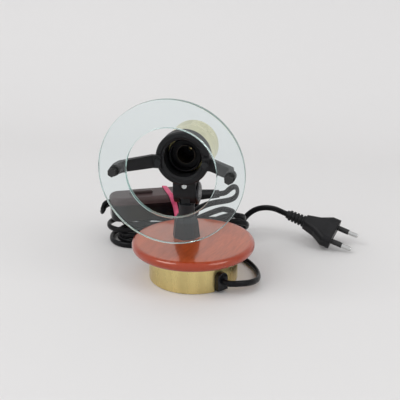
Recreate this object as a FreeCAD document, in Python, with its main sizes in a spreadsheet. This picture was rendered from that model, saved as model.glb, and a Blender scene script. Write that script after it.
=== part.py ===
import FreeCAD, Part
import math
import os
import re
import Sketcher

os.makedirs("parts", exist_ok=True)

doc = FreeCAD.newDocument("motion_lamp")
sheet = doc.addObject("Spreadsheet::Sheet", "Sizes")
Vector = FreeCAD.Vector

# Driving sizes in millimetres and degrees. The origin is the centre of the base's underside,
# +Z is up, and the lamp head points along -Y.
SIZES = {
    # base
    "ring_radius": 36.25, "ring_wall": 1.2, "ring_lift": 0.5, "base_height": 24.5,
    "pad_thick": 2.0, "plate_thick": 1.6, "ballast_thick": 8.0, "ballast_hole": 17.5,
    "wood_radius": 50.0, "wood_thick": 8.0, "wood_round": 3.7,
    "base_screw_circle": 27.0, "base_screw_radius": 2.0, "base_screw_length": 27.0,
    "base_screw_head": 3.6, "base_screw_start": 90.0,
    # cord gland in the ring, and the connector block behind it
    "gland_angle": -43.0, "gland_half": 4.7, "gland_bottom": 2.3, "gland_top": 17.3,
    "gland_out": 4.75, "gland_flange": 1.6, "gland_lip": 1.5, "gland_exit": 10.2,
    "block_out": 9.0, "block_length": 17.0, "block_width": 9.0, "block_height": 8.5,
    "terminal_radius": 1.4, "terminal_pitch": 8.0, "wire_radius": 0.9,
    # post and swivel
    "post_x": -6.9, "post_y": 6.7, "foot_radius": 11.4, "foot_waist": 9.9, "foot_neck": 7.7,
    "foot_straight": 13.6, "foot_height": 18.0, "foot_screw_radius": 1.3, "foot_screw_out": 7.6,
    "foot_screw_length": 15.0, "bush_radius": 5.2, "stem_radius": 4.0, "stem_bore": 2.6,
    "stem_bottom": 16.2, "washer_radius": 8.5, "washer_thick": 1.2, "nut_flats": 13.0,
    "nut_thick": 5.0, "column_radius": 6.6, "column_gap": 0.3,
    # tilt joint
    "pivot_drop": 31.8, "barrel_radius": 8.75, "fork_half": 9.2, "slot_half": 4.4,
    "tongue_half": 3.5, "tongue_radius": 5.5, "tongue_neck": 3.8, "slot_radius": 5.8,
    "pivot_radius": 2.5, "pivot_head": 9.0, "pivot_head_thick": 2.0, "pivot_nut_flats": 8.0,
    "pivot_nut_thick": 3.0, "fork_back": 12.7, "fork_front_edge": 200.0, "fork_back_edge": 40.0,
    "neck_screw_drop": 24.4, "neck_screw_radius": 1.5, "neck_screw_head": 2.6,
    "tenon_half": 5.0, "tenon_front": -0.5, "tenon_back": -4.0, "tenon_drop": 26.2,
    # head
    "axis_height": 101.5, "collar_radius": 21.5, "collar_bore": 15.2, "collar_front": 8.0,
    "collar_back": -4.0, "spigot_radius": 19.3, "spigot_back": -10.0, "collar_bevel": 1.0,
    "cylinder_radius": 20.5, "cylinder_wall": 0.9, "cylinder_back": -40.0, "cylinder_round": 2.4,
    "holder_radius": 13.1, "holder_wall": 1.5, "holder_front": -1.0, "holder_back": -31.0,
    "thread_radius": 7.0, "thread_wall": 0.5, "thread_front": -5.0, "thread_length": 18.0,
    "core_radius": 11.3, "core_back": -28.5, "nipple_radius": 5.0, "nipple_bore": 3.2,
    "rear_nut_radius": 8.0, "rear_nut_thick": 3.0, "contact_radius": 2.4,
    # arms and glass
    "glass_radius": 55.0, "glass_hole": 34.0, "glass_thick": 4.0, "glass_front": 46.5,
    "glass_bevel": 0.4, "peg_in": 1.0, "peg_drop": 1.0, "peg_radius": 1.6, "peg_flats": 5.8,
    "peg_head": 3.0, "bush_wall": 0.9, "bush_lip": 0.8, "bush_lip_radius": 3.6,
    "arm_thick": 3.2, "arm_boss": 4.0, "arm_root_top": 2.7, "arm_root_bottom": -7.6,
    "arm_end_top": 3.2, "arm_root_in": 16.2, "arm_knee_out": 24.0, "arm_elbow_in": 1.5,
    "arm_elbow_forward": 29.0, "arm_screw_out": 18.6, "arm_screw_radius": 1.3,
    "arm_screw_head": 2.5, "arm_seat_gap": 0.05,
    # cord and what is on it
    "cord_thick": 5.2, "hank_x": -29.5, "hank_y": 72.5, "hank_turn": 13.5, "hank_rear": 17.0,
    "hank_front": -14.15, "hank_step": 5.7, "hank_floor": 3.7, "hank_start": 48.0,
    "hank_end": 30.0, "hank_top": 35.0, "band_thick": 0.8, "band_width": 4.6,
    "switch_along": -18.2, "switch_across": 83.7, "switch_turn": 24.0, "switch_length": 80.0,
    "switch_width": 28.0, "switch_floor": 23.7, "switch_parting": 16.0, "switch_height": 22.0,
    "switch_wall": 1.8, "switch_corner": 9.0, "switch_round": 4.0, "slot_length": 21.0,
    "slot_width": 3.0, "slide_travel": 14.0, "slide_start": -12.0, "slider_length": 19.0,
    "slider_width": 7.0, "slider_lift": 2.6, "slider_stem": 2.4, "boot_length": 20.0,
    "boot_radius": 5.0, "board_thick": 1.6, "board_height": 9.0,
    # plug
    "plug_x": 111.1, "plug_y": 83.0, "plug_z": 12.0, "plug_yaw": -11.5, "plug_pitch": 15.8,
    "plug_roll": 19.0, "plug_width": 32.5, "plug_thick": 12.6, "plug_straight": 8.0,
    "plug_length": 29.0, "plug_neck": 12.0, "plug_round": 4.4, "pin_pitch": 19.0,
    "pin_radius": 2.0, "pin_length": 19.0, "sleeve_length": 10.0, "plug_boot_length": 17.5,
    "plug_boot_radius": 5.3, "rib_count": 5,
    # running clearance of pins and shafts, and of loose neighbours
    "run_gap": 0.05, "seat_gap": 0.1, "clear_gap": 0.3,
}
for row, (name, number) in enumerate(SIZES.items(), 1):
    sheet.set(f"A{row}", name)
    sheet.set(f"B{row}", str(number))
    sheet.setAlias(f"B{row}", name)
doc.recompute()


def rule(text):
    """A rule in the names of the sheet, as an expression of the document."""
    return re.sub(r"\b([a-z]+(?:_[a-z]+)+)\b", r"Sizes.\1", text)


def size(text):
    """The value of a rule."""
    return float(sheet.evalExpression(rule(text)))


def origin_plane(body, role):
    return next(part for part in body.Origin.OriginFeatures if part.Role == role)


def new_body(label, x="0", y="0", z="0", turn=None, forward=False):
    """A body at a bound place, turned about Z, or with its own +Z pointing along -Y."""
    body = doc.addObject("PartDesign::Body", label)
    body.Label = label
    body.AllowCompound = True
    if forward:
        body.Placement = FreeCAD.Placement(Vector(), FreeCAD.Rotation(Vector(1, 0, 0), 90))
    body.setExpression("Placement.Base.x", rule(x))
    body.setExpression("Placement.Base.y", rule(y))
    body.setExpression("Placement.Base.z", rule(z))
    if turn:
        body.setExpression("Placement.Rotation.Angle", rule(turn))
    return body


def head_body(label, out="0", up="0"):
    """A body on the head's axis, with its own +Z along the light's direction."""
    return new_body(label, "post_x + " + out, "0", "axis_height + " + up, forward=True)


def sketch_on(body, role, lift="0"):
    sketch = body.newObject("Sketcher::SketchObject", body.Label + "_sketch")
    sketch.AttachmentSupport = [(origin_plane(body, role), "")]
    sketch.MapMode = "FlatFace"
    sketch.setExpression("AttachmentOffset.Base.z", rule(lift))
    return sketch


def pin_point(sketch, geometry, end, x, y):
    """Tie one end of a line, or a centre, to its place by two bound constraints."""
    for kind, axis, text in (("DistanceX", -2, x), ("DistanceY", -1, y)):
        if text == "0":
            sketch.addConstraint(Sketcher.Constraint("PointOnObject", geometry, end, axis))
            continue
        index = sketch.addConstraint(
            Sketcher.Constraint(kind, -1, 1, geometry, end, size(text)))
        sketch.setExpression(f"Constraints[{index}]", rule(text))


def draw_outline(sketch, corners):
    """A closed outline of straight sides through bound corners."""
    first = sketch.GeometryCount
    places = [Vector(size(x), size(y), 0) for x, y in corners]
    count = len(places)
    for k in range(count):
        sketch.addGeometry(Part.LineSegment(places[k], places[(k + 1) % count]), False)
    for k in range(count):
        following = first + (k + 1) % count
        sketch.addConstraint(Sketcher.Constraint("Coincident", first + k, 2, following, 1))
        pin_point(sketch, first + k, 1, *corners[k])


def draw_circle(sketch, radius, x="0", y="0"):
    circle = Part.Circle(Vector(size(x), size(y), 0), Vector(0, 0, 1), size(radius))
    geometry = sketch.addGeometry(circle, False)
    pin_point(sketch, geometry, 3, x, y)
    index = sketch.addConstraint(Sketcher.Constraint("Radius", geometry, size(radius)))
    sketch.setExpression(f"Constraints[{index}]", rule(radius))


def box_corners(x1, y1, x2, y2):
    return [(x1, y1), (x2, y1), (x2, y2), (x1, y2)]


def polygon_corners(radius, sides, start=0.0):
    """Corners of a regular polygon whose corner radius is a rule."""
    corners = []
    for k in range(sides):
        angle = math.radians(start + 360.0 * k / sides)
        corners.append((f"({radius}) * {math.cos(angle):.9f}", f"({radius}) * {math.sin(angle):.9f}"))
    return corners


def nut_corners(flats, start=0.0):
    return polygon_corners(f"({flats}) / (2 * cos(30 deg))", 6, start)


def pad(body, sketch, length, both=False, back=False):
    feature = body.newObject("PartDesign::Pad", body.Label + "_pad")
    feature.Profile = sketch
    feature.Midplane = both
    feature.Reversed = back
    feature.setExpression("Length", rule(length))
    return feature


def pocket(body, sketch, length, both=False, back=False):
    """Cut a sketch into the body, and make sure that it takes something away."""
    doc.recompute()
    before = body.Shape.Volume
    feature = body.newObject("PartDesign::Pocket", body.Label + "_pocket")
    feature.Profile = sketch
    feature.Midplane = both
    feature.Reversed = back
    feature.setExpression("Length", rule(length))
    doc.recompute()
    if not body.Shape.Volume < before:
        raise ValueError("a pocket of " + body.Label + " cuts nothing")
    return feature


def turned(body, corners):
    """A lathe-turned piece: corners of its half section as (radius, height)."""
    sketch = sketch_on(body, "XZ_Plane")
    draw_outline(sketch, corners)
    feature = body.newObject("PartDesign::Revolution", body.Label + "_turned")
    feature.Profile = sketch
    feature.ReferenceAxis = (sketch, ["V_Axis"])
    feature.Angle = 360.0
    return feature


def ring_corners(inner, outer, low, high):
    return box_corners(inner, low, outer, high)


def finish_edges(body, kind, radius, chosen):
    """Fillet or chamfer the edges of the body that a test picks."""
    doc.recompute()
    base = body.Tip
    names = [f"Edge{k + 1}" for k, edge in enumerate(base.Shape.Edges) if chosen(edge)]
    if not names:
        raise ValueError("no edge to finish on " + body.Label)
    feature = body.newObject("PartDesign::" + kind, body.Label + "_" + kind.lower())
    feature.Base = (base, names)
    feature.setExpression("Radius" if kind == "Fillet" else "Size", rule(radius))
    return feature


def at_height(*heights):
    """Picks round edges that lie flat at one of the given heights."""
    levels = [size(text) for text in heights]

    def chosen(edge):
        box = edge.BoundBox
        flat = box.ZLength < 1e-4
        return flat and any(abs(box.ZMin - level) < 1e-3 for level in levels)
    return chosen


def circle_at(radius, *heights):
    """Picks full or part circles of one radius that lie flat at a given height."""
    level = at_height(*heights)
    wanted = size(radius)

    def chosen(edge):
        round_edge = hasattr(edge.Curve, "Radius")
        return round_edge and level(edge) and abs(edge.Curve.Radius - wanted) < 1e-3
    return chosen


def upright(edge):
    """Picks straight edges that stand along the body's own Z."""
    box = edge.BoundBox
    return box.ZLength > 0.5 and box.XLength < 1e-4 and box.YLength < 1e-4


def mirrored(body, feature, role):
    copy = body.newObject("PartDesign::Mirrored", body.Label + "_mirrored")
    copy.Originals = [feature]
    copy.MirrorPlane = (origin_plane(body, role), [""])
    body.Tip = copy
    return copy


def polar(body, features, count):
    copy = body.newObject("PartDesign::PolarPattern", body.Label + "_pattern")
    copy.Originals = features
    axis = next(part for part in body.Origin.OriginFeatures if part.Role == "Z_Axis")
    copy.Axis = (axis, [""])
    copy.Angle = 360.0
    copy.Occurrences = count
    body.Tip = copy
    return copy


# The base: a felt pad, a steel plate and an iron ballast inside a brass ring, under a wooden disc.
RING_BORE = "(ring_radius - ring_wall)"
PLATE_TOP = "(pad_thick + plate_thick)"
BALLAST_TOP = "(pad_thick + plate_thick + ballast_thick)"
WOOD_TOP = "(base_height + wood_thick)"
GLAND_FACE = "(ring_radius + gland_out)"
FLANGE_BACK = "(ring_radius - ring_wall - 0.7 - gland_flange)"


def make_base_pad():
    body = new_body("base_pad")
    turned(body, box_corners("0", "0", RING_BORE + " - 0.6", "pad_thick"))
    finish_edges(body, "Chamfer", "0.3", at_height("0"))


def cut_screw_holes(body, radius, low, length):
    sketch = sketch_on(body, "XY_Plane", low)
    draw_circle(sketch, radius, "base_screw_circle * cos(base_screw_start * 1 deg)",
                "base_screw_circle * sin(base_screw_start * 1 deg)")
    hole = pocket(body, sketch, length, back=True)
    polar(body, [hole], 3)


def cut_gland_notch(body, depth_from, room):
    """Let the cord gland into a disc of the base, with some room at each side."""
    sketch = sketch_on(body, "XY_Plane")
    half = f"(gland_half + gland_lip + {room})"
    far = "(ring_radius + 5)"
    cos, sin = "cos(gland_angle * 1 deg)", "sin(gland_angle * 1 deg)"
    corners = []
    for out, side in ((depth_from, "-1"), (far, "-1"), (far, "1"), (depth_from, "1")):
        corners.append((f"({out}) * {cos} - ({side}) * {half} * {sin}",
                        f"({out}) * {sin} + ({side}) * {half} * {cos}"))
    draw_outline(sketch, corners)
    pocket(body, sketch, "60", both=True)


def make_bottom_plate():
    body = new_body("bottom_plate")
    turned(body, box_corners("0", "pad_thick", RING_BORE + " - seat_gap", PLATE_TOP))
    cut_screw_holes(body, "base_screw_radius + seat_gap", "pad_thick - 1", "plate_thick + 2")
    cut_gland_notch(body, FLANGE_BACK + " - clear_gap", "clear_gap")


def make_ballast():
    body = new_body("ballast_weight")
    outer = RING_BORE + " - 1.5"
    turned(body, [("ballast_hole", PLATE_TOP), (outer, PLATE_TOP),
                  (outer, BALLAST_TOP + " - 1"), (outer + " - 1", BALLAST_TOP),
                  ("ballast_hole", BALLAST_TOP)])
    cut_screw_holes(body, "base_screw_radius + 0.3", PLATE_TOP + " - 1", "ballast_thick + 2")
    cut_gland_notch(body, "ballast_hole - 6", "clear_gap")


def make_base_screws():
    """Three screws from under the plate, through the ballast, into the wood."""
    body = new_body("base_screws", "0", "0", "pad_thick")
    start = "base_screw_start * 1 deg"
    x = f"base_screw_circle * cos({start})"
    y = f"base_screw_circle * sin({start})"
    shank = sketch_on(body, "XY_Plane")
    draw_circle(shank, "base_screw_radius", x, y)
    first = pad(body, shank, "base_screw_length")
    polar(body, [first], 3)


def make_brass_ring():
    body = new_body("brass_ring")
    turned(body, ring_corners(RING_BORE, "ring_radius", "ring_lift", "base_height"))
    opening = new_body("ring_notch_tool", turn="gland_angle")
    sketch = sketch_on(opening, "YZ_Plane", RING_BORE + " - 3")
    arch_outline(sketch, "gland_half + seat_gap", "ring_lift - 2", "gland_top + seat_gap")
    pad(opening, sketch, "10")
    cut = doc.addObject("Part::Cut", "brass_ring_notched")
    cut.Base = body
    cut.Tool = opening
    cut.Label = "brass_ring_notched"
    return cut


def arch_outline(sketch, half, low, high):
    """A door shape: straight sides and a half-round head."""
    r = size(half)
    spring = f"({high} - ({half}))"
    top = size(spring)
    bottom = size(low)
    sketch.addGeometry(Part.LineSegment(Vector(-r, top, 0), Vector(-r, bottom, 0)), False)
    sketch.addGeometry(Part.LineSegment(Vector(-r, bottom, 0), Vector(r, bottom, 0)), False)
    sketch.addGeometry(Part.LineSegment(Vector(r, bottom, 0), Vector(r, top, 0)), False)
    circle = Part.Circle(Vector(0, top, 0), Vector(0, 0, 1), r)
    sketch.addGeometry(Part.ArcOfCircle(circle, 0, math.pi), False)
    sketch.addConstraint(Sketcher.Constraint("Coincident", 0, 2, 1, 1))
    sketch.addConstraint(Sketcher.Constraint("Coincident", 1, 2, 2, 1))
    sketch.addConstraint(Sketcher.Constraint("Coincident", 2, 2, 3, 1))
    sketch.addConstraint(Sketcher.Constraint("Coincident", 3, 2, 0, 1))
    pin_point(sketch, 1, 1, f"-({half})", low)
    pin_point(sketch, 1, 2, half, low)
    pin_point(sketch, 3, 2, f"-({half})", spring)
    pin_point(sketch, 3, 1, half, spring)
    index = sketch.addConstraint(Sketcher.Constraint("DistanceY", -1, 1, 3, 3, top))
    sketch.setExpression(f"Constraints[{index}]", rule(spring))


def make_wood_disc():
    body = new_body("wood_disc")
    turned(body, box_corners("0", "base_height", "wood_radius", WOOD_TOP))
    finish_edges(body, "Fillet", "wood_round", at_height("base_height", WOOD_TOP))
    bore = sketch_on(body, "XY_Plane", "base_height - 1")
    draw_circle(bore, "stem_radius + 0.6", "post_x", "post_y")
    pocket(body, bore, "wood_thick + 2", back=True)
    cut_foot_screw_holes(body, "foot_screw_radius + seat_gap", "base_height - 1", "wood_thick + 2")
    cut_foot_screw_holes(body, "2 * foot_screw_radius + seat_gap", "base_height - 1", "2.8")
    cut_screw_holes(body, "base_screw_radius + seat_gap", "base_height - 1",
                    "pad_thick + base_screw_length - base_height + 1.3")


def foot_screw_place(side):
    return f"post_x {side} foot_screw_out", "post_y"


def cut_foot_screw_holes(body, radius, low, length):
    sketch = sketch_on(body, "XY_Plane", low)
    for side in ("-", "+"):
        draw_circle(sketch, radius, *foot_screw_place(side))
    pocket(body, sketch, length, back=True)


def make_cord_gland():
    """The arched strain relief: a flange inside the ring and a block outside it."""
    body = new_body("cord_gland", turn="gland_angle")
    inner = sketch_on(body, "YZ_Plane", FLANGE_BACK)
    arch_outline(inner, "gland_half + gland_lip", "gland_bottom", "gland_top + gland_lip")
    pad(body, inner, "gland_flange")
    outer = sketch_on(body, "YZ_Plane", FLANGE_BACK)
    arch_outline(outer, "gland_half", "gland_bottom", "gland_top")
    pad(body, outer, f"{GLAND_FACE} - {FLANGE_BACK}")
    finish_edges(body, "Fillet", "0.7", gland_rim)
    bore = sketch_on(body, "YZ_Plane", GLAND_FACE + " + 1")
    draw_circle(bore, "cord_thick / 2 + seat_gap", "0", "gland_exit")
    pocket(body, bore, "gland_out + ring_wall + gland_flange + 4")


def gland_rim(edge):
    box = edge.BoundBox
    return box.XLength < 1e-4 and abs(box.XMin - size(GLAND_FACE)) < 1e-3


def make_inner_lead():
    """The end of the cord inside the base, from the gland's bore to the connector."""
    body = new_body("inner_lead", turn="gland_angle")
    start = "(block_out + block_width / 2 + 4)"
    sheath = sketch_on(body, "YZ_Plane", start)
    draw_circle(sheath, "cord_thick / 2", "0", "gland_exit")
    pad(body, sheath, f"{GLAND_FACE} - {start}")
    cores = sketch_on(body, "YZ_Plane", "block_out + block_width / 2 + clear_gap")
    for side in ("-", "+"):
        draw_circle(cores, "wire_radius", f"0 {side} 1.3", "gland_exit")
    pad(body, cores, "4")


def make_terminal_block():
    body = new_body("terminal_block", turn="gland_angle")
    sketch = sketch_on(body, "XY_Plane", "gland_exit - block_height / 2")
    draw_outline(sketch, box_corners(
        "block_out - block_width / 2", "-block_length / 2",
        "block_out + block_width / 2", "block_length / 2"))
    pad(body, sketch, "block_height")
    finish_edges(body, "Fillet", "1.2", upright)
    wells = sketch_on(body, "XY_Plane", "gland_exit + block_height / 2 + 1")
    for side in ("-", "+"):
        draw_circle(wells, "terminal_radius + seat_gap", "block_out",
                    f"0 {side} terminal_pitch / 2")
    pocket(body, wells, "5")


def make_terminal_screws():
    body = new_body("terminal_screws", turn="gland_angle")
    sketch = sketch_on(body, "XY_Plane", "gland_exit + block_height / 2 - 3.9")
    for side in ("-", "+"):
        draw_circle(sketch, "terminal_radius", "block_out", f"0 {side} terminal_pitch / 2")
    pad(body, sketch, "3.4")


# The foot and the swivel: a hollow stem turns in a bush inside the eight-sided foot.
def eight_sided_loft(body, low, low_radius, high, high_radius):
    sketches = []
    for level, radius in ((low, low_radius), (high, high_radius)):
        sketch = sketch_on(body, "XY_Plane", level)
        draw_outline(sketch, polygon_corners(radius, 8, -90.0))
        sketches.append(sketch)
    feature = body.newObject("PartDesign::AdditiveLoft", body.Label + "_loft")
    feature.Profile = sketches[0]
    feature.Sections = [sketches[1]]
    feature.Ruled = True
    return feature


def make_foot_block():
    body = new_body("foot_block", "post_x", "post_y", WOOD_TOP)
    eight_sided_loft(body, "0", "foot_radius", "foot_straight", "foot_waist")
    eight_sided_loft(body, "foot_straight", "foot_waist", "foot_height", "foot_neck")
    bore = sketch_on(body, "XY_Plane", "-1")
    draw_circle(bore, "bush_radius + run_gap")
    pocket(body, bore, "foot_height + 2", back=True)
    screws = sketch_on(body, "XY_Plane", "-1")
    for side in ("-", "+"):
        draw_circle(screws, "foot_screw_radius + seat_gap", f"0 {side} foot_screw_out", "0")
    pocket(body, screws, "foot_screw_length - wood_thick + 1.5", back=True)


def make_foot_screws():
    body = new_body("foot_screws", "post_x", "post_y", "base_height + seat_gap")
    for radius, length in (("foot_screw_radius * 2", "1.5"),
                           ("foot_screw_radius", "foot_screw_length")):
        sketch = sketch_on(body, "XY_Plane")
        for side in ("-", "+"):
            draw_circle(sketch, radius, f"0 {side} foot_screw_out", "0")
        pad(body, sketch, length)


def make_swivel_bush():
    body = new_body("swivel_bush", "post_x", "post_y", WOOD_TOP)
    turned(body, ring_corners("stem_radius + run_gap", "bush_radius",
                              "clear_gap", "foot_height + column_gap / 2"))


def make_swivel_stem():
    body = new_body("swivel_stem", "post_x", "post_y", "stem_bottom")
    turned(body, ring_corners("stem_bore", "stem_radius", "0",
                              f"{WOOD_TOP} + foot_height + 7 - stem_bottom"))


def make_stem_washer():
    body = new_body("stem_washer", "post_x", "post_y", "base_height - seat_gap - washer_thick")
    turned(body, ring_corners("stem_radius + seat_gap", "washer_radius", "0", "washer_thick"))


def make_stem_nut():
    body = new_body("stem_nut", "post_x", "post_y",
                    "base_height - 2 * seat_gap - washer_thick - nut_thick")
    sketch = sketch_on(body, "XY_Plane")
    draw_outline(sketch, nut_corners("nut_flats"))
    draw_circle(sketch, "stem_radius + run_gap")
    pad(body, sketch, "nut_thick")


PIVOT_HEIGHT = "(axis_height - pivot_drop)"
COLUMN_TOP = "(axis_height - pivot_drop - barrel_radius - column_gap)"


def make_column():
    """The round post with a flat tongue on top, rounded about the tilt pin."""
    body = new_body("column", "post_x", "post_y", "0")
    low = f"({WOOD_TOP} + foot_height + column_gap)"
    turned(body, [("0", low), ("column_radius - 0.5", low), ("column_radius", low + " + 0.5"),
                  ("column_radius", COLUMN_TOP + " - 0.6"), ("column_radius - 0.6", COLUMN_TOP),
                  ("0", COLUMN_TOP)])
    neck = sketch_on(body, "YZ_Plane")
    draw_outline(neck, box_corners("-tongue_neck", COLUMN_TOP + " - 1",
                                   "tongue_neck", PIVOT_HEIGHT))
    pad(body, neck, "2 * tongue_half", both=True)
    eye = sketch_on(body, "YZ_Plane")
    draw_circle(eye, "tongue_radius", "0", PIVOT_HEIGHT)
    pad(body, eye, "2 * tongue_half", both=True)
    pin = sketch_on(body, "YZ_Plane")
    draw_circle(pin, "pivot_radius + run_gap", "0", PIVOT_HEIGHT)
    pocket(body, pin, "4 * tongue_half", both=True)
    stem = sketch_on(body, "XY_Plane", low + " - 1")
    draw_circle(stem, "stem_radius + run_gap")
    pocket(body, stem, "8.2", back=True)


# The tilt joint: a fork that closes round the tongue in front and is open behind and below.
def pivot_body(label):
    return new_body(label, "post_x", "post_y", PIVOT_HEIGHT)


def make_fork():
    body = pivot_body("fork")
    barrel = sketch_on(body, "YZ_Plane")
    draw_circle(barrel, "barrel_radius")
    pad(body, barrel, "2 * fork_half", both=True)
    finish_edges(body, "Fillet", "0.8", barrel_rim)
    neck = sketch_on(body, "YZ_Plane")
    top = "pivot_drop - collar_radius + 4"
    draw_outline(neck, box_corners("-barrel_radius", "0", "fork_back - post_y", top))
    pad(body, neck, "2 * fork_half", both=True)
    slot = sketch_on(body, "YZ_Plane")
    draw_tongue_slot(slot)
    pocket(body, slot, "2 * slot_half", both=True)
    saddle = sketch_on(body, "XZ_Plane", "-60")
    draw_circle(saddle, "collar_radius + run_gap", "0", "pivot_drop")
    pocket(body, saddle, "120", back=True)
    socket = sketch_on(body, "XY_Plane", "slot_radius - 2")
    draw_outline(socket, box_corners(
        "-tenon_half - run_gap", "-tenon_front - post_y - run_gap",
        "tenon_half + run_gap", "-tenon_back - post_y + run_gap"))
    pocket(body, socket, "30", back=True)
    pin = sketch_on(body, "YZ_Plane")
    draw_circle(pin, "pivot_radius + run_gap")
    pocket(body, pin, "4 * fork_half", both=True)
    nut = sketch_on(body, "YZ_Plane", "-fork_half - 1")
    draw_outline(nut, nut_corners("pivot_nut_flats + 2 * seat_gap", 90.0))
    pocket(body, nut, "pivot_nut_thick + 1.3", back=True)
    head = sketch_on(body, "XZ_Plane", "barrel_radius + 1")
    draw_circle(head, "neck_screw_head + seat_gap", "0", "pivot_drop - neck_screw_drop")
    pocket(body, head, "2.5")
    shank = sketch_on(body, "XZ_Plane", "barrel_radius + 1")
    draw_circle(shank, "neck_screw_radius + seat_gap", "0", "pivot_drop - neck_screw_drop")
    pocket(body, shank, "12")


def barrel_rim(edge):
    """The round outer edges of the barrel's two cheeks."""
    curve = edge.Curve
    if not hasattr(curve, "Radius"):
        return False
    box = edge.BoundBox
    flat = box.XLength < 1e-4 and abs(abs(box.XMin) - size("fork_half")) < 1e-3
    return flat and abs(curve.Radius - size("barrel_radius")) < 1e-3


def draw_tongue_slot(sketch):
    """A round room about the pin that opens downwards and backwards."""
    r = size("slot_radius")
    reach = size("barrel_radius + 6")
    first = math.radians(size("fork_front_edge"))
    last = math.radians(size("fork_back_edge"))
    arc = Part.ArcOfCircle(Part.Circle(Vector(), Vector(0, 0, 1), r), last, first)
    angles = [first + (last + 2 * math.pi - first) * k / 4 for k in range(5)]
    outer = [Vector(reach * math.cos(a), reach * math.sin(a), 0) for a in angles]
    inner_first = Vector(r * math.cos(first), r * math.sin(first), 0)
    inner_last = Vector(r * math.cos(last), r * math.sin(last), 0)
    places = [inner_first] + outer + [inner_last]
    sketch.addGeometry(arc, False)
    for start, end in zip(places, places[1:]):
        sketch.addGeometry(Part.LineSegment(start, end), False)


def make_pivot_screw():
    """The tilt pin: a screw with a wide low disc of a head on the right cheek."""
    body = pivot_body("pivot_screw")
    body.Placement = FreeCAD.Placement(Vector(), FreeCAD.Rotation(Vector(0, 1, 0), 90))
    seat = "fork_half + seat_gap"
    tip = "-fork_half + 0.4"
    top = f"({seat} + pivot_head_thick)"
    turned(body, [("0", tip), ("pivot_radius", tip), ("pivot_radius", seat),
                  ("pivot_head", seat), ("pivot_head", seat + " + 0.9"),
                  ("pivot_head - 1.4", top + " - 0.25"), ("pivot_head - 3.2", top), ("0", top)])


def make_pivot_nut():
    body = pivot_body("pivot_nut")
    sketch = sketch_on(body, "YZ_Plane", "-fork_half + 0.2")
    draw_outline(sketch, nut_corners("pivot_nut_flats", 90.0))
    draw_circle(sketch, "pivot_radius + run_gap")
    pad(body, sketch, "pivot_nut_thick")


def make_pivot_washers():
    body = pivot_body("pivot_washers")
    sketch = sketch_on(body, "YZ_Plane", "tongue_half + run_gap")
    draw_circle(sketch, "tongue_radius - 0.2")
    draw_circle(sketch, "pivot_radius + run_gap")
    disc = pad(body, sketch, "slot_half - tongue_half - 2 * run_gap")
    mirrored(body, disc, "YZ_Plane")


def make_neck_screw():
    body = new_body("neck_screw", "post_x", "post_y - barrel_radius",
                    "axis_height - neck_screw_drop", forward=True)
    turned(body, [("0", "-9"), ("neck_screw_radius", "-9"), ("neck_screw_radius", "-1.4"),
                  ("neck_screw_head", "-1.4"), ("neck_screw_head", "-0.7"),
                  ("neck_screw_head - 0.6", "-0.2"), ("0", "-0.2")])


# The head: collar, brass cylinder and lampholder on one axis.
def make_collar():
    body = head_body("collar")
    front, back = "collar_front", "collar_back"
    turned(body, [("collar_bore", "spigot_back"), ("spigot_radius", "spigot_back"),
                  ("spigot_radius", back), ("collar_radius", back),
                  ("collar_radius", front + " - collar_bevel"),
                  ("collar_radius - collar_bevel", front),
                  ("collar_bore + 2.2", front), ("collar_bore + 1.6", front + " - 0.8"),
                  ("collar_bore", front + " - 1.6")])
    tenon = sketch_on(body, "XY_Plane", "tenon_back")
    draw_outline(tenon, box_corners("-tenon_half", "-tenon_drop",
                                    "tenon_half", "-collar_bore - 3"))
    pad(body, tenon, "tenon_front - tenon_back")
    hole = sketch_on(body, "XY_Plane", "tenon_back - 1")
    draw_circle(hole, "neck_screw_radius + run_gap", "0",
                "-neck_screw_drop")
    pocket(body, hole, "tenon_front - tenon_back + 2", back=True)
    holes = sketch_on(body, "XY_Plane", "collar_front + 1")
    for side in ("-", "+"):
        draw_circle(holes, "arm_screw_radius + seat_gap", f"0 {side} arm_screw_out", ARM_ROOT_MID)
    pocket(body, holes, "8")


ARM_ROOT_MID = "(arm_root_top + arm_root_bottom) / 2"
PEG_OUT = "((glass_radius + glass_hole) / 2 - peg_in)"


def make_lamp_cylinder():
    """The drawn brass cup behind the collar, with a hole for the lampholder's nipple."""
    body = head_body("lamp_cylinder")
    front = "(collar_back - seat_gap)"
    floor = "(cylinder_back + cylinder_wall)"
    bore = "(cylinder_radius - cylinder_wall)"
    turned(body, [(bore, front), (bore, floor), ("nipple_radius + seat_gap", floor),
                  ("nipple_radius + seat_gap", "cylinder_back"),
                  ("cylinder_radius", "cylinder_back"), ("cylinder_radius", front)])
    finish_edges(body, "Fillet", "cylinder_round", circle_at("cylinder_radius", "cylinder_back"))


def make_lampholder():
    """The black skirt of the lampholder, closed behind round its nipple."""
    body = head_body("lampholder_shell")
    inner = "(holder_radius - holder_wall)"
    turned(body, [(inner, "holder_front"), (inner, "holder_back + 2"),
                  ("nipple_radius + seat_gap", "holder_back + 2"),
                  ("nipple_radius + seat_gap", "holder_back"),
                  ("holder_radius - 2", "holder_back"), ("holder_radius", "holder_back + 2.5"),
                  ("holder_radius", "holder_front - 0.5"),
                  ("holder_radius - 0.5", "holder_front")])


def make_holder_core():
    """The ceramic core that carries the threaded shell and the centre contact."""
    body = head_body("holder_core")
    hollow = "(thread_radius + thread_wall + seat_gap)"
    floor = "(thread_front - thread_length - 2.5)"
    turned(body, [("0", "core_back"), ("core_radius", "core_back"),
                  ("core_radius", "thread_front - 2"), (hollow, "thread_front - 2"),
                  (hollow, floor), ("0", floor)])


def make_holder_thread():
    body = head_body("holder_thread")
    turned(body, ring_corners("thread_radius", "thread_radius + thread_wall",
                              "thread_front - thread_length", "thread_front"))


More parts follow.
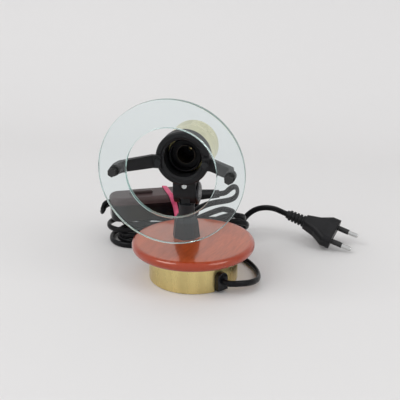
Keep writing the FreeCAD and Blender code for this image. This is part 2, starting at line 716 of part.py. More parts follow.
def make_holder_contact():
    body = head_body("holder_contact")
    seat = "thread_front - thread_length - 2.4"
    turned(body, [("0", seat), ("contact_radius", seat), ("contact_radius", seat + " + 0.6"),
                  ("contact_radius / 2", seat + " + 2"), ("0", seat + " + 2.2")])


def make_holder_nipple():
    body = head_body("holder_nipple")
    turned(body, ring_corners("nipple_bore", "nipple_radius",
                              "cylinder_back - rear_nut_thick - 0.8", "holder_back + 1.8"))


def make_holder_spacer():
    body = head_body("holder_spacer")
    turned(body, ring_corners("nipple_radius + seat_gap", "nipple_radius + 2.2",
                              "cylinder_back + cylinder_wall + seat_gap",
                              "holder_back - seat_gap"))


def make_rear_nut():
    body = head_body("rear_nut")
    low = "cylinder_back - seat_gap - rear_nut_thick"
    high = "cylinder_back - seat_gap"
    turned(body, [("nipple_radius + run_gap", low), ("rear_nut_radius - 0.8", low),
                  ("rear_nut_radius", low + " + 0.8"), ("rear_nut_radius", high),
                  ("nipple_radius + run_gap", high)])


# The glass ring on its two arms.
ARM_FACE = "(glass_front - glass_thick - bush_lip)"
PEG_HOLE = "(peg_radius + seat_gap + bush_wall + seat_gap)"


def make_arm(label, side):
    """A flat bar from the collar's face, out, forward and onto the back of the glass."""
    body = head_body(label)
    plan = sketch_on(body, "XZ_Plane", "-arm_root_bottom + 6")
    t = "arm_thick"
    front = "collar_front + arm_seat_gap"
    outline = [
        ("arm_root_in", front), ("arm_knee_out", front),
        (PEG_OUT + " - arm_elbow_in + 0.60 * arm_thick", "arm_elbow_forward - 0.2 * arm_thick"),
        (PEG_OUT + " + arm_thick / 2 + 0.4", "arm_elbow_forward + 7"),
        (PEG_OUT + " + arm_thick / 2 + 0.4", ARM_FACE), (PEG_OUT + " - arm_thick / 2", ARM_FACE),
        (PEG_OUT + " - arm_thick / 2", "arm_elbow_forward + 7"),
        (PEG_OUT + " - arm_elbow_in - 0.45 * arm_thick", "arm_elbow_forward + 0.75 * arm_thick"),
        ("arm_knee_out - 0.5 * arm_thick", front + " + " + t), ("arm_root_in", front + " + " + t),
    ]
    draw_outline(plan, [(f"{side} * ({x})", f"0 + ({y})") for x, y in outline])
    pad(body, plan, "arm_end_top - arm_root_bottom + 12", back=True)
    finish_edges(body, "Fillet", "1.2", upright_bends)
    taper = sketch_on(body, "YZ_Plane")
    low_end = "-peg_drop - arm_boss"
    draw_outline(taper, [
        ("-12", "collar_front - 1"), ("arm_root_bottom", "collar_front - 1"),
        ("arm_root_bottom", "collar_front + arm_thick"), (low_end, ARM_FACE + " + 1"),
        ("-12 - arm_boss", ARM_FACE + " + 1"), ("-12 - arm_boss", "collar_front - 1")][1:])
    pocket(body, taper, "200", both=True)
    upper = sketch_on(body, "YZ_Plane")
    draw_outline(upper, [
        ("arm_root_top", "collar_front - 1"), ("arm_root_top", "collar_front + arm_thick"),
        ("-peg_drop + arm_boss", ARM_FACE + " + 1"), ("40", ARM_FACE + " + 1"),
        ("40", "collar_front - 1")])
    pocket(body, upper, "200", both=True)
    boss = sketch_on(body, "XY_Plane", ARM_FACE)
    draw_circle(boss, "arm_boss", f"{side} * {PEG_OUT}", "-peg_drop")
    pad(body, boss, "6", back=True)
    hole = sketch_on(body, "XY_Plane", ARM_FACE + " + 1")
    draw_circle(hole, "peg_radius + run_gap", f"{side} * {PEG_OUT}", "-peg_drop")
    pocket(body, hole, "6.2")
    screw = sketch_on(body, "XY_Plane", "collar_front + arm_thick + 2")
    draw_circle(screw, "arm_screw_radius + seat_gap", f"{side} * arm_screw_out", ARM_ROOT_MID)
    pocket(body, screw, "arm_thick + 4")


def upright_bends(edge):
    """The long edges of an arm's bends, which run along the body's own Y."""
    box = edge.BoundBox
    tall = box.YLength > 2 and box.XLength < 1e-4 and box.ZLength < 1e-4
    low = size("collar_front") + 1.0
    high = size(ARM_FACE) - 2.0
    return tall and low < box.ZMin < high


def make_arm_screws():
    body = head_body("arm_screws")
    shank = sketch_on(body, "XY_Plane", "collar_front - 5")
    draw_circle(shank, "arm_screw_radius", "arm_screw_out", ARM_ROOT_MID)
    first = pad(body, shank, "arm_thick + 5.6")
    head = sketch_on(body, "XY_Plane", "collar_front + arm_seat_gap + arm_thick + run_gap")
    draw_circle(head, "arm_screw_head", "arm_screw_out", ARM_ROOT_MID)
    second = pad(body, head, "1.5")
    copy = mirrored(body, first, "YZ_Plane")
    copy.Originals = [first, second]


def make_glass_ring():
    body = head_body("glass_ring")
    back = "glass_front - glass_thick"
    turned(body, ring_corners("glass_hole", "glass_radius", back, "glass_front"))
    finish_edges(body, "Chamfer", "glass_bevel", at_height(back, "glass_front"))
    holes = sketch_on(body, "XY_Plane", "glass_front + 1")
    for side in ("-", "+"):
        draw_circle(holes, PEG_HOLE, f"0 {side} {PEG_OUT}", "-peg_drop")
    pocket(body, holes, "glass_thick + 2")


def make_glass_bushes():
    """Rubber bushes that line the glass's holes and lap over both of its faces."""
    body = head_body("glass_bushes")
    sleeve = sketch_on(body, "XY_Plane", "glass_front - glass_thick - bush_lip")
    draw_circle(sleeve, "peg_radius + seat_gap + bush_wall", PEG_OUT, "-peg_drop")
    first = pad(body, sleeve, "glass_thick + 2 * bush_lip")
    lips = []
    for level in ("glass_front - glass_thick - bush_lip", "glass_front + run_gap"):
        lip = sketch_on(body, "XY_Plane", level)
        draw_circle(lip, "bush_lip_radius", PEG_OUT, "-peg_drop")
        lips.append(pad(body, lip, "bush_lip - run_gap"))
    bore = sketch_on(body, "XY_Plane", "glass_front + bush_lip + 1")
    draw_circle(bore, "peg_radius + seat_gap", PEG_OUT, "-peg_drop")
    cut = pocket(body, bore, "glass_thick + 2 * bush_lip + 2")
    copy = mirrored(body, first, "YZ_Plane")
    copy.Originals = [first] + lips + [cut]


def make_peg_caps():
    """Six-sided pegs in front of the glass, whose shanks run back into the arms."""
    body = head_body("peg_caps")
    seat = "(glass_front + bush_lip + run_gap)"
    head = sketch_on(body, "XY_Plane", seat)
    corners = nut_corners("peg_flats", 30.0)
    draw_outline(head, [(f"{PEG_OUT} + {x}", f"{y} - peg_drop") for x, y in corners])
    first = pad(body, head, "peg_head")
    shank = sketch_on(body, "XY_Plane", seat + " + 0.5")
    draw_circle(shank, "peg_radius", PEG_OUT, "-peg_drop")
    second = pad(body, shank, f"{seat} - {ARM_FACE} + 5.3", back=True)
    copy = mirrored(body, first, "YZ_Plane")
    copy.Originals = [first, second]


# The cord. A free stretch is straight runs joined by tangent arcs.
def tube_path(points):
    """A wire of runs and arcs, and the radii of its arcs."""
    count = len(points)
    trims = [Vector(point) for point in points]
    edges = []
    radii = []
    here = trims[0]
    for k in range(1, count - 1):
        back = trims[k - 1] - trims[k]
        ahead = trims[k + 1] - trims[k]
        shorter = min(back.Length, ahead.Length)
        turn = math.pi - back.getAngle(ahead)
        if turn < 1e-4:
            continue
        reach = 0.45 * shorter
        radius = reach / math.tan(turn / 2)
        radii.append(radius)
        start = trims[k] + back.normalize() * reach
        end = trims[k] + ahead.normalize() * reach
        inward = (back + ahead).normalize()
        centre = trims[k] + inward * math.hypot(radius, reach)
        middle = centre - inward * radius
        edges.append(Part.LineSegment(here, start).toShape())
        edges.append(Part.Arc(start, middle, end).toShape())
        here = end
    edges.append(Part.LineSegment(here, trims[-1]).toShape())
    return Part.Wire(edges), radii


def tube_along(label, wire):
    """Sweep the cord's round section along a wire, and compare its volume."""
    start = wire.Edges[0]
    tangent = start.tangentAt(start.FirstParameter)
    radius = size("cord_thick") / 2
    circle = Part.makeCircle(radius, start.valueAt(start.FirstParameter), tangent)
    shape = wire.makePipeShell([Part.Wire([circle])], True, False)
    expected = math.pi * radius ** 2 * wire.Length
    print(f"{label}: length {wire.Length:.1f}, volume ratio {shape.Volume / expected:.4f}")
    feature = doc.addObject("Part::Feature", label)
    feature.Label = label
    feature.Shape = shape
    return feature


def free_cord(label, points):
    wire, radii = tube_path(points)
    print(label + " least radius:", round(min(radii), 1))
    tube_along(label, wire)
    return wire


def hank_place(along, across, height):
    turn = math.radians(size("hank_turn"))
    x = size("hank_x") + along * math.cos(turn) - across * math.sin(turn)
    y = size("hank_y") + along * math.sin(turn) + across * math.cos(turn)
    return Vector(x, y, height)


def switch_place(along, across, height):
    """A point in the dimmer's own directions: from its middle, and from its floor."""
    turn = math.radians(size("switch_turn"))
    u = size("switch_along") + along
    v = size("switch_across") + across
    x = u * math.cos(turn) - v * math.sin(turn)
    y = u * math.sin(turn) + v * math.cos(turn)
    return Vector(x, y, size("switch_floor") + height)


HANK_LEFT = (39.0, 41.0, 48.0, 38.0)
HANK_RIGHT = (50.0, 44.5, 38.0)
HANK_RISE = (11.5, 12.5, 14.0)
HANK_BEND = (4.0, 0.0, -4.0, -8.0)


def hank_turn(along, begin, finish, low, high, way):
    """Four corners of a half turn from one run to the next, with its change of height."""
    radius, middle = abs(finish - begin) / 2, (begin + finish) / 2
    reach = radius / math.cos(math.radians(22.5))
    side = math.copysign(1.0, begin - finish)
    corners = []
    for angle in (22.5, 67.5, 112.5, 157.5):
        a = math.radians(angle)
        level = low + (high - low) * (1 - math.cos(a)) / 2
        corners.append(hank_place(along + way * reach * math.sin(a),
                                  middle + side * reach * math.cos(a), level))
    return corners


def hank_points():
    """Four long loops, flat one on the other at the left and fanned upwards at the right."""
    rear, front, step = size("hank_rear"), size("hank_front"), size("hank_step")
    floor, top, end = size("hank_floor"), size("hank_top"), size("hank_end")
    points = [hank_place(along, rear, floor)
              for along in (size("hank_start"), 20.0, -12.0, -HANK_LEFT[0])]
    for level, left in enumerate(HANK_LEFT):
        low = floor + step * level
        across = rear - step * (level % 2)
        points += hank_turn(-left, across, front, low, low, -1.0)
        points += [hank_place(along, front, low) for along in (-left, -25.0, HANK_BEND[level])]
        if level == 3:
            break
        right, rise = HANK_RIGHT[level], HANK_RISE[level]
        bend = HANK_BEND[level]
        following = rear - step * ((level + 1) % 2)
        points += [hank_place((bend + right) / 2, front, low + rise / 2),
                   hank_place(right, front, low + rise)]
        points += hank_turn(right, front, following, low + rise, low, 1.0)
        points += [hank_place(right, following, low), hank_place(11.0, following, low),
                   hank_place(-16.0, following, low + step),
                   hank_place(-HANK_LEFT[level + 1], following, low + step)]
    return points + [hank_place(end - 9.0, front, top - 2.4), hank_place(end, front, top)]


def print_self_gap(label, wire, spacing=1.5):
    """The least gap of a wound tube to itself, measured on points along it."""
    count = int(wire.Length / spacing)
    points = wire.discretize(count)
    diameter = size("cord_thick")
    skip = int(3 * diameter / spacing)
    least = min((points[i] - points[j]).Length
                for i in range(count) for j in range(i + skip, count))
    print(f"{label}: least gap to itself {least - diameter:.2f}")


def make_cords():
    half = size("switch_length") / 2
    parting = size("switch_parting")
    turn = math.radians(size("gland_angle"))
    face = size(GLAND_FACE)
    gland = Vector(face * math.cos(turn), face * math.sin(turn), size("gland_exit"))
    free_cord("lamp_cord", [
        gland, (33.3, -31.1, 10.2), (37.8, -31.4, 10.3), (43.2, -29.2, 10.1),
        (48.6, -25.2, 9.2), (52.4, -19.2, 7.9), (54.5, -11.0, 6.0), (54.4, -1.0, 4.1),
        (52.0, 10.0, 3.0), (47.0, 21.0, 2.7), (39.5, 31.5, 2.7), (28.0, 40.5, 2.7),
        (13.0, 45.5, 2.7), (-7.0, 47.2, 2.7), (-30.0, 46.6, 2.7),
        hank_place(-30.0, -21.0, 2.7), hank_place(-44.0, -20.6, 2.7),
        hank_place(-54.0, -16.4, 2.7), hank_place(-60.6, -7.5, 2.7),
        hank_place(-62.0, 3.0, 2.7), hank_place(-58.6, 14.4, 2.9),
        hank_place(-50.4, 22.0, 3.6), hank_place(-39.5, 24.4, 5.4),
        hank_place(-30.0, 24.2, 9.0), hank_place(-23.6, 24.0, 14.6),
        hank_place(-21.6, 23.6, 21.6), hank_place(-25.0, 22.4, 27.8),
        hank_place(-33.0, 19.6, 31.0), switch_place(-33.0, 18.2, 8.2),
        switch_place(-40.6, 17.2, 8.8), switch_place(-44.9, 12.2, 10.4),
        switch_place(-45.9, 6.0, 13.0), switch_place(-44.3, 0, 15.6),
        switch_place(-half + 1.5, 0, parting)])
    wire = free_cord("cord_hank", hank_points())
    print_self_gap("cord_hank", wire)
    rear, front = size("hank_rear"), size("hank_front")
    low, top, end = size("hank_floor"), size("hank_top"), size("hank_end")
    free_cord("switch_cord", [
        switch_place(half + size("boot_length"), 0, parting),
        switch_place(half + size("boot_length") + 6.0, 0, parting), (13.0, 98.0, 43.4),
        (17.2, 97.0, 46.6), (20.8, 92.6, 46.8), (23.2, 86.6, 43.6), (23.6, 80.6, 39.6),
        (21.0, 75.0, 37.0), (15.6, 70.4, 36.6), hank_place(end + 7.0, front, top + 1.6),
        hank_place(end, front, top)])
    start = size("hank_start")
    placement = plug_placement()
    boot = -size("plug_length + plug_boot_length")
    free_cord("plug_cord", [
        hank_place(start, rear, low), hank_place(start + 5.0, rear, low + 0.1),
        (22.5, 102.8, 7.5), (26.5, 103.6, 13.0), (31.5, 103.2, 19.0), (38.0, 101.0, 24.2),
        (46.0, 98.2, 27.3), (55.2, 95.2, 28.1), placement.multVec(Vector(boot - 4.0, 0, 0)),
        placement.multVec(Vector(boot, 0, 0))])


# The dimmer in the cord: two shells, a slider, a board and a boot at its right end.
def switch_body(label):
    middle = "switch_along * cos(switch_turn * 1 deg) - switch_across * sin(switch_turn * 1 deg)"
    depth = "switch_along * sin(switch_turn * 1 deg) + switch_across * cos(switch_turn * 1 deg)"
    return new_body(label, middle, depth, "switch_floor", turn="switch_turn")


def draw_round_box(sketch, x, y, radius):
    """A rectangle about the origin with round corners, all of it bound."""
    inner_x, inner_y = f"({x} - ({radius}))", f"({y} - ({radius}))"
    ends = [("-" + inner_x, "-" + y, inner_x, "-" + y), (x, "-" + inner_y, x, inner_y),
            (inner_x, y, "-" + inner_x, y), ("-" + x, inner_y, "-" + x, "-" + inner_y)]
    centres = [(inner_x, "-" + inner_y), (inner_x, inner_y), ("-" + inner_x, inner_y),
               ("-" + inner_x, "-" + inner_y)]
    for k, (x1, y1, x2, y2) in enumerate(ends):
        line = Part.LineSegment(Vector(size(x1), size(y1), 0), Vector(size(x2), size(y2), 0))
        sketch.addGeometry(line, False)
        pin_point(sketch, k, 1, x1, y1)
        pin_point(sketch, k, 2, x2, y2)
    for k, (x1, y1) in enumerate(centres):
        circle = Part.Circle(Vector(size(x1), size(y1), 0), Vector(0, 0, 1), size(radius))
        start = -math.pi / 2 + k * math.pi / 2
        arc = sketch.addGeometry(Part.ArcOfCircle(circle, start, start + math.pi / 2), False)
        sketch.addConstraint(Sketcher.Constraint("Coincident", k, 2, arc, 1))
        sketch.addConstraint(Sketcher.Constraint("Coincident", arc, 2, (k + 1) % 4, 1))
        index = sketch.addConstraint(Sketcher.Constraint("Radius", arc, size(radius)))
        sketch.setExpression(f"Constraints[{index}]", rule(radius))


def switch_outline(body, level, inset):
    """The dimmer's round-cornered outline, drawn in by an inset, at one level."""
    sketch = sketch_on(body, "XY_Plane", level)
    draw_round_box(sketch, f"(switch_length / 2 - ({inset}))", f"(switch_width / 2 - ({inset}))",
                   f"switch_corner - ({inset})")
    return sketch


def cut_cord_ways(body):
    """Half-round ways through the end walls, where the cord comes in at the parting line."""
    sketch = sketch_on(body, "YZ_Plane")
    draw_circle(sketch, "cord_thick / 2 + seat_gap", "0", "switch_parting")
    pocket(body, sketch, "switch_length + 2", both=True)


def make_lower_shell():
    body = switch_body("dimmer_lower_shell")
    pad(body, switch_outline(body, "0", "0"), "switch_parting - run_gap")
    finish_edges(body, "Fillet", "2.0", at_height("0"))
    cavity = switch_outline(body, "switch_parting + 1", "switch_wall")
    pocket(body, cavity, "switch_parting + 1 - 2.2")
    posts = sketch_on(body, "XY_Plane", "1.5")
    for side in ("-", "+"):
        draw_circle(posts, "3", f"0 {side} (switch_length / 2 - 8)", "-7")
    pad(body, posts, "board_height - seat_gap - 1.5")
    holes = sketch_on(body, "XY_Plane", "-1")
    for side in ("-", "+"):
        draw_circle(holes, "1.4", f"0 {side} (switch_length / 2 - 8)", "-7")
    pocket(body, holes, "switch_parting + 2", back=True)
    cut_cord_ways(body)


def make_upper_shell():
    body = switch_body("dimmer_upper_shell")
    pad(body, switch_outline(body, "switch_parting", "0"), "switch_height - switch_parting")
    finish_edges(body, "Fillet", "switch_round", at_height("switch_height"))
    cavity = switch_outline(body, "switch_parting - 1", "switch_wall + 0.6")
    pocket(body, cavity, "switch_height - switch_parting + 1 - switch_wall", back=True)
    slot = sketch_on(body, "XY_Plane", "switch_height + 1")
    draw_outline(slot, box_corners("slide_start - slot_length / 2", "-slot_width / 2",
                                   "slide_start + slot_length / 2", "slot_width / 2"))
    pocket(body, slot, "switch_wall + 2")
    cut_cord_ways(body)


def make_dimmer_board():
    body = switch_body("dimmer_board")
    sketch = switch_outline(body, "board_height", "switch_wall + 0.3")
    for side in ("-", "+"):
        draw_circle(sketch, "1.4", f"0 {side} (switch_length / 2 - 8)", "-7")
    pad(body, sketch, "board_thick")


def make_dimmer_slider():
    """A raised bar on the top shell, with a stem down through its slot."""
    body = switch_body("dimmer_slider")
    base = "(switch_height + seat_gap)"
    bar = sketch_on(body, "XY_Plane", base)
    draw_outline(bar, box_corners(
        "slide_start - slider_length / 2", "-slider_width / 2",
        "slide_start + slider_length / 2", "slider_width / 2"))
    pad(body, bar, "slider_lift")
    finish_edges(body, "Fillet", "1.0", at_height("switch_height + seat_gap + slider_lift"))
    stem = sketch_on(body, "XY_Plane", base + " + 0.5")
    draw_outline(stem, box_corners("slide_start - 3", "-slider_stem / 2",
                                   "slide_start + 3", "slider_stem / 2"))
    pad(body, stem, "switch_wall + 1.6", back=True)


def make_dimmer_screws():
    body = switch_body("dimmer_screws")
    for radius, start, length in (("1.3", "0.4", "board_height + board_thick + 0.2"),
                                  ("2.2", "board_height + board_thick + seat_gap", "1.2")):
        sketch = sketch_on(body, "XY_Plane", start)
        for side in ("-", "+"):
            draw_circle(sketch, radius, f"0 {side} (switch_length / 2 - 8)", "-7")
        pad(body, sketch, length)


def make_dimmer_boot():
    body = switch_body("dimmer_boot")
    sketch = sketch_on(body, "XZ_Plane")
    face = "(switch_length / 2 + seat_gap)"
    end = "(switch_length / 2 + boot_length)"
    bore = "(switch_parting + cord_thick / 2 + seat_gap)"
    corners = [(face, bore), (face, "switch_parting + boot_radius"),
               (end, "switch_parting + cord_thick / 2 + 1"), (end, bore)]
    draw_outline(sketch, corners)
    axis = sketch.addGeometry(Part.LineSegment(Vector(0, size("switch_parting"), 0),
                                               Vector(10, size("switch_parting"), 0)), True)
    pin_point(sketch, axis, 1, "0", "switch_parting")
    pin_point(sketch, axis, 2, "10", "switch_parting")
    feature = body.newObject("PartDesign::Revolution", "dimmer_boot_turned")
    feature.Profile = sketch
    feature.ReferenceAxis = (sketch, ["Axis0"])
    feature.Angle = 360.0


def make_boot_lead():
    """The cord inside the boot, from the dimmer's end to where the free stretch starts."""
    body = switch_body("boot_lead")
    sketch = sketch_on(body, "YZ_Plane", "switch_length / 2 - switch_wall - 1")
    draw_circle(sketch, "cord_thick / 2", "0", "switch_parting")
    pad(body, sketch, "boot_length + switch_wall + 1")


def make_rubber_band():
    """A flat rubber band round the hank and the dimmer, slightly askew."""
    body = new_body("rubber_band", "-37.7", "74.8", "0", turn="10")
    outer = [("-22.6", "0"), ("17.9", "0"), ("18.4", "24"), ("17.2", "47.6"), ("-17.2", "47.6"),
             ("-22.8", "24")]
    sketch = sketch_on(body, "YZ_Plane")
    draw_outline(sketch, outer)
    pad(body, sketch, "band_width", both=True)
    finish_edges(body, "Fillet", "3.2", along_own_x)
    inner = [("-22.6 + band_thick", "band_thick"), ("17.9 - band_thick", "band_thick"),
             ("18.4 - band_thick", "24"), ("17.2 - band_thick", "47.6 - band_thick"),
             ("-17.2 + band_thick", "47.6 - band_thick"), ("-22.8 + band_thick", "24")]
    hole = sketch_on(body, "YZ_Plane")
    draw_outline(hole, inner)
    pocket(body, hole, "4 * band_width", both=True)


def along_own_x(edge):
    box = edge.BoundBox
    return box.XLength > 1 and box.YLength < 1e-4 and box.ZLength < 1e-4


# The plug at the cord's end, lying on one corner of its face.
def plug_placement():
    place = Vector(size("plug_x"), size("plug_y"), size("plug_z"))
    turn = FreeCAD.Rotation(size("plug_yaw"), size("plug_pitch"), size("plug_roll"))
    return FreeCAD.Placement(place, turn)


def plug_piece(label):
    body = doc.addObject("PartDesign::Body", label)
    body.Label = label
    body.AllowCompound = True
    body.Placement = plug_placement()
    return body


def make_plug_body():
    body = plug_piece("plug_body")
    plan = sketch_on(body, "XY_Plane")
    half, neck = "plug_width / 2", "plug_neck / 2"
    draw_outline(plan, [
        ("0", f"-{half}"), ("0", half), ("-plug_straight", half),
        ("-0.62 * plug_length", f"{neck} + 3.4"), ("-plug_length + 1", neck),
        ("-plug_length", f"{neck} - 1"), ("-plug_length", f"-{neck} + 1"),
        ("-plug_length + 1", f"-{neck}"), ("-0.62 * plug_length", f"-{neck} - 3.4"),
        ("-plug_straight", f"-{half}")])
    pad(body, plan, "plug_thick", both=True)
    finish_edges(body, "Fillet", "plug_round", plug_side_edges)
    slopes = sketch_on(body, "XZ_Plane")
    rear = "plug_thick / 2 - 1.6"
    draw_outline(slopes, [("-plug_straight - 3", "plug_thick / 2 + 1"),
                          ("-plug_straight - 3", "plug_thick / 2"),
                          ("-plug_length - 1", rear), ("-plug_length - 1", "plug_thick / 2 + 1")])
    pocket(body, slopes, "2 * plug_width", both=True)
    draw = sketch_on(body, "XZ_Plane")
    draw_outline(draw, [("-plug_straight - 3", "-plug_thick / 2 - 1"),
                        ("-plug_straight - 3", "-plug_thick / 2"),
                        ("-plug_length - 1", f"-({rear})"),
                        ("-plug_length - 1", "-plug_thick / 2 - 1")])
    pocket(body, draw, "2 * plug_width", both=True)


def plug_side_edges(edge):
    """The long edges of the plug's two sides, where its faces meet them."""
    box = edge.BoundBox
    flat = box.ZLength < 1e-4
    side = box.YMin > size("plug_neck / 2") - 0.1 or box.YMax < -size("plug_neck / 2") + 0.1
    return flat and side and box.XLength > 4


def make_plug_pins():
    body = plug_piece("plug_pins")
    sketch = sketch_on(body, "YZ_Plane", "0.1")
    for side in ("-", "+"):
        draw_circle(sketch, "pin_radius", f"0 {side} pin_pitch / 2", "0")
    pad(body, sketch, "pin_length - 0.1")
    finish_edges(body, "Fillet", "1.2", pin_tip)


def pin_tip(edge):
    box = edge.BoundBox
    return box.XLength < 1e-4 and box.XMin > size("pin_length") - 1e-3


def make_plug_sleeves():
    body = plug_piece("plug_sleeves")
    sketch = sketch_on(body, "YZ_Plane", "0.05")
    draw_circle(sketch, "pin_radius + 0.35", "pin_pitch / 2", "0")
    draw_circle(sketch, "pin_radius + 0.02", "pin_pitch / 2", "0")
    first = pad(body, sketch, "sleeve_length")
    mirrored(body, first, "XZ_Plane")


def make_plug_boot():
    """The ribbed strain relief behind the plug, turned about the cord's line."""
    body = plug_piece("plug_boot")
    sketch = sketch_on(body, "XZ_Plane")
    bore = "cord_thick / 2 + seat_gap"
    start = "(-plug_length - seat_gap)"
    end = "(-plug_length - plug_boot_length)"
    ribs = int(size("rib_count"))
    pitch = size("plug_boot_length") / (ribs + 0.5)
    corners = [(start, bore)]
    for k in range(ribs):
        rib = f"plug_boot_radius - {0.12 * k:.2f}"
        groove = f"plug_boot_radius - {1.3 + 0.06 * k:.2f}"
        left = f"{start} - {pitch * (k + 0.10):.3f}"
        corners.append((start if k == 0 else left, rib))
        corners.append((f"{start} - {pitch * (k + 0.60):.3f}", rib))
        corners.append((f"{start} - {pitch * (k + 0.70):.3f}", groove))
        corners.append((f"{start} - {pitch * (k + 1.00):.3f}", groove))
    corners += [(end, "cord_thick / 2 + 1.0"), (end, bore)]
    draw_outline(sketch, corners)
    feature = body.newObject("PartDesign::Revolution", "plug_boot_turned")
    feature.Profile = sketch
    feature.ReferenceAxis = (sketch, ["H_Axis"])
    feature.Angle = 360.0


def make_plug_lead():
    """The cord inside the plug's boot."""
    body = plug_piece("plug_lead")
    sketch = sketch_on(body, "YZ_Plane", "-plug_length - seat_gap")
    draw_circle(sketch, "cord_thick / 2")
    pad(body, sketch, "plug_boot_length - seat_gap", back=True)


make_base_pad()
make_bottom_plate()
make_ballast()
make_base_screws()
brass_ring = make_brass_ring()
make_wood_disc()
make_cord_gland()
make_inner_lead()
make_terminal_block()
make_terminal_screws()
make_foot_block()
make_foot_screws()
make_swivel_bush()
make_swivel_stem()
make_stem_washer()
make_stem_nut()
make_column()
make_fork()
make_pivot_screw()
make_pivot_nut()
make_pivot_washers()
make_neck_screw()
make_collar()
make_lamp_cylinder()
make_lampholder()
make_holder_core()
make_holder_thread()
make_holder_contact()
make_holder_nipple()
make_holder_spacer()
make_rear_nut()
make_arm("arm_left", "(-1)")
make_arm("arm_right", "1")
make_arm_screws()
make_glass_ring()
make_glass_bushes()
make_peg_caps()
make_cords()
make_lower_shell()
make_upper_shell()
make_dimmer_board()
make_dimmer_slider()
make_dimmer_screws()
make_dimmer_boot()
make_boot_lead()
make_rubber_band()
make_plug_body()
make_plug_pins()
make_plug_sleeves()
make_plug_boot()
make_plug_lead()
doc.recompute()

# Every object must be sound before anything is written.
for part in doc.Objects:
    if "Invalid" in part.State or "Error" in part.State:
        raise ValueError("failed: " + part.Label + " " + str(part.State))

tools = {"ring_notch_tool", "brass_ring"}
pieces = {}
for part in doc.Objects:
    if part.TypeId in ("PartDesign::Body", "Part::Feature") and part.Label not in tools:
        pieces[part.Label] = part.Shape
pieces["brass_ring"] = brass_ring.Shape
for name, shape in pieces.items():
    if shape.isNull() or not shape.isValid():
        raise ValueError("bad shape: " + name)
    shape.exportStep(f"parts/{name}.step")
print(len(pieces), "pieces written")
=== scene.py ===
import math

import bmesh
import bpy
from mathutils import Matrix, Vector


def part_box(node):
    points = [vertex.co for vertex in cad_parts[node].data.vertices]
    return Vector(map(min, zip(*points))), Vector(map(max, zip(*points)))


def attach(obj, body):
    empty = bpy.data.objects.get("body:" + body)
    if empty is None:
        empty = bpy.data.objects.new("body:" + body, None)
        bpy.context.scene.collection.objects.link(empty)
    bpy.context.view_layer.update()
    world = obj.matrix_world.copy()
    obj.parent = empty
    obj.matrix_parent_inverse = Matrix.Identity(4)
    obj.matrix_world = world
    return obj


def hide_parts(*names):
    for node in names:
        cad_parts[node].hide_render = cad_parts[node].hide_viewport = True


bl_info = {
    "name": "Glass Ring Lamp",
    "version": (1, 0, 0),
    "blender": (4, 5, 0),
    "location": "3D View > Sidebar > Lamp",
    "description": "Dresses a lamp with a glass ring, a wooden base, a cord, a dimmer and a plug",
    "category": "Object",
}

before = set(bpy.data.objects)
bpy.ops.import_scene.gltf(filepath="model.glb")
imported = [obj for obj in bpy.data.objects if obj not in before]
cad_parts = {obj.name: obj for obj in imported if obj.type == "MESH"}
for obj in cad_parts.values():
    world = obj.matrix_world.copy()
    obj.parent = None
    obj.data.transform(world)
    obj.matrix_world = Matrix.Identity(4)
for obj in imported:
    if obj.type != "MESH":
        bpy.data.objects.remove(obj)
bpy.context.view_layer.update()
MM = 0.001


class Wire:
    """A shader socket that can stand in a Python expression."""

    def __init__(self, finish, socket):
        self.finish = finish
        self.socket = socket

    def maths(self, operation, *values):
        return self.finish.node("ShaderNodeMath", {"operation": operation}, *values)

    def __add__(self, other):
        return self.maths("ADD", self, other)

    def __radd__(self, other):
        return self.maths("ADD", other, self)

    def __sub__(self, other):
        return self.maths("SUBTRACT", self, other)

    def __rsub__(self, other):
        return self.maths("SUBTRACT", other, self)

    def __mul__(self, other):
        return self.maths("MULTIPLY", self, other)

    def __rmul__(self, other):
        return self.maths("MULTIPLY", other, self)

    def between(self, low, high, to_low=0.0, to_high=1.0):
        """The value's place between two limits, held inside a new pair of limits."""
        return self.finish.node("ShaderNodeMapRange", {"clamp": True}, self, low, high,
                                to_low, to_high)


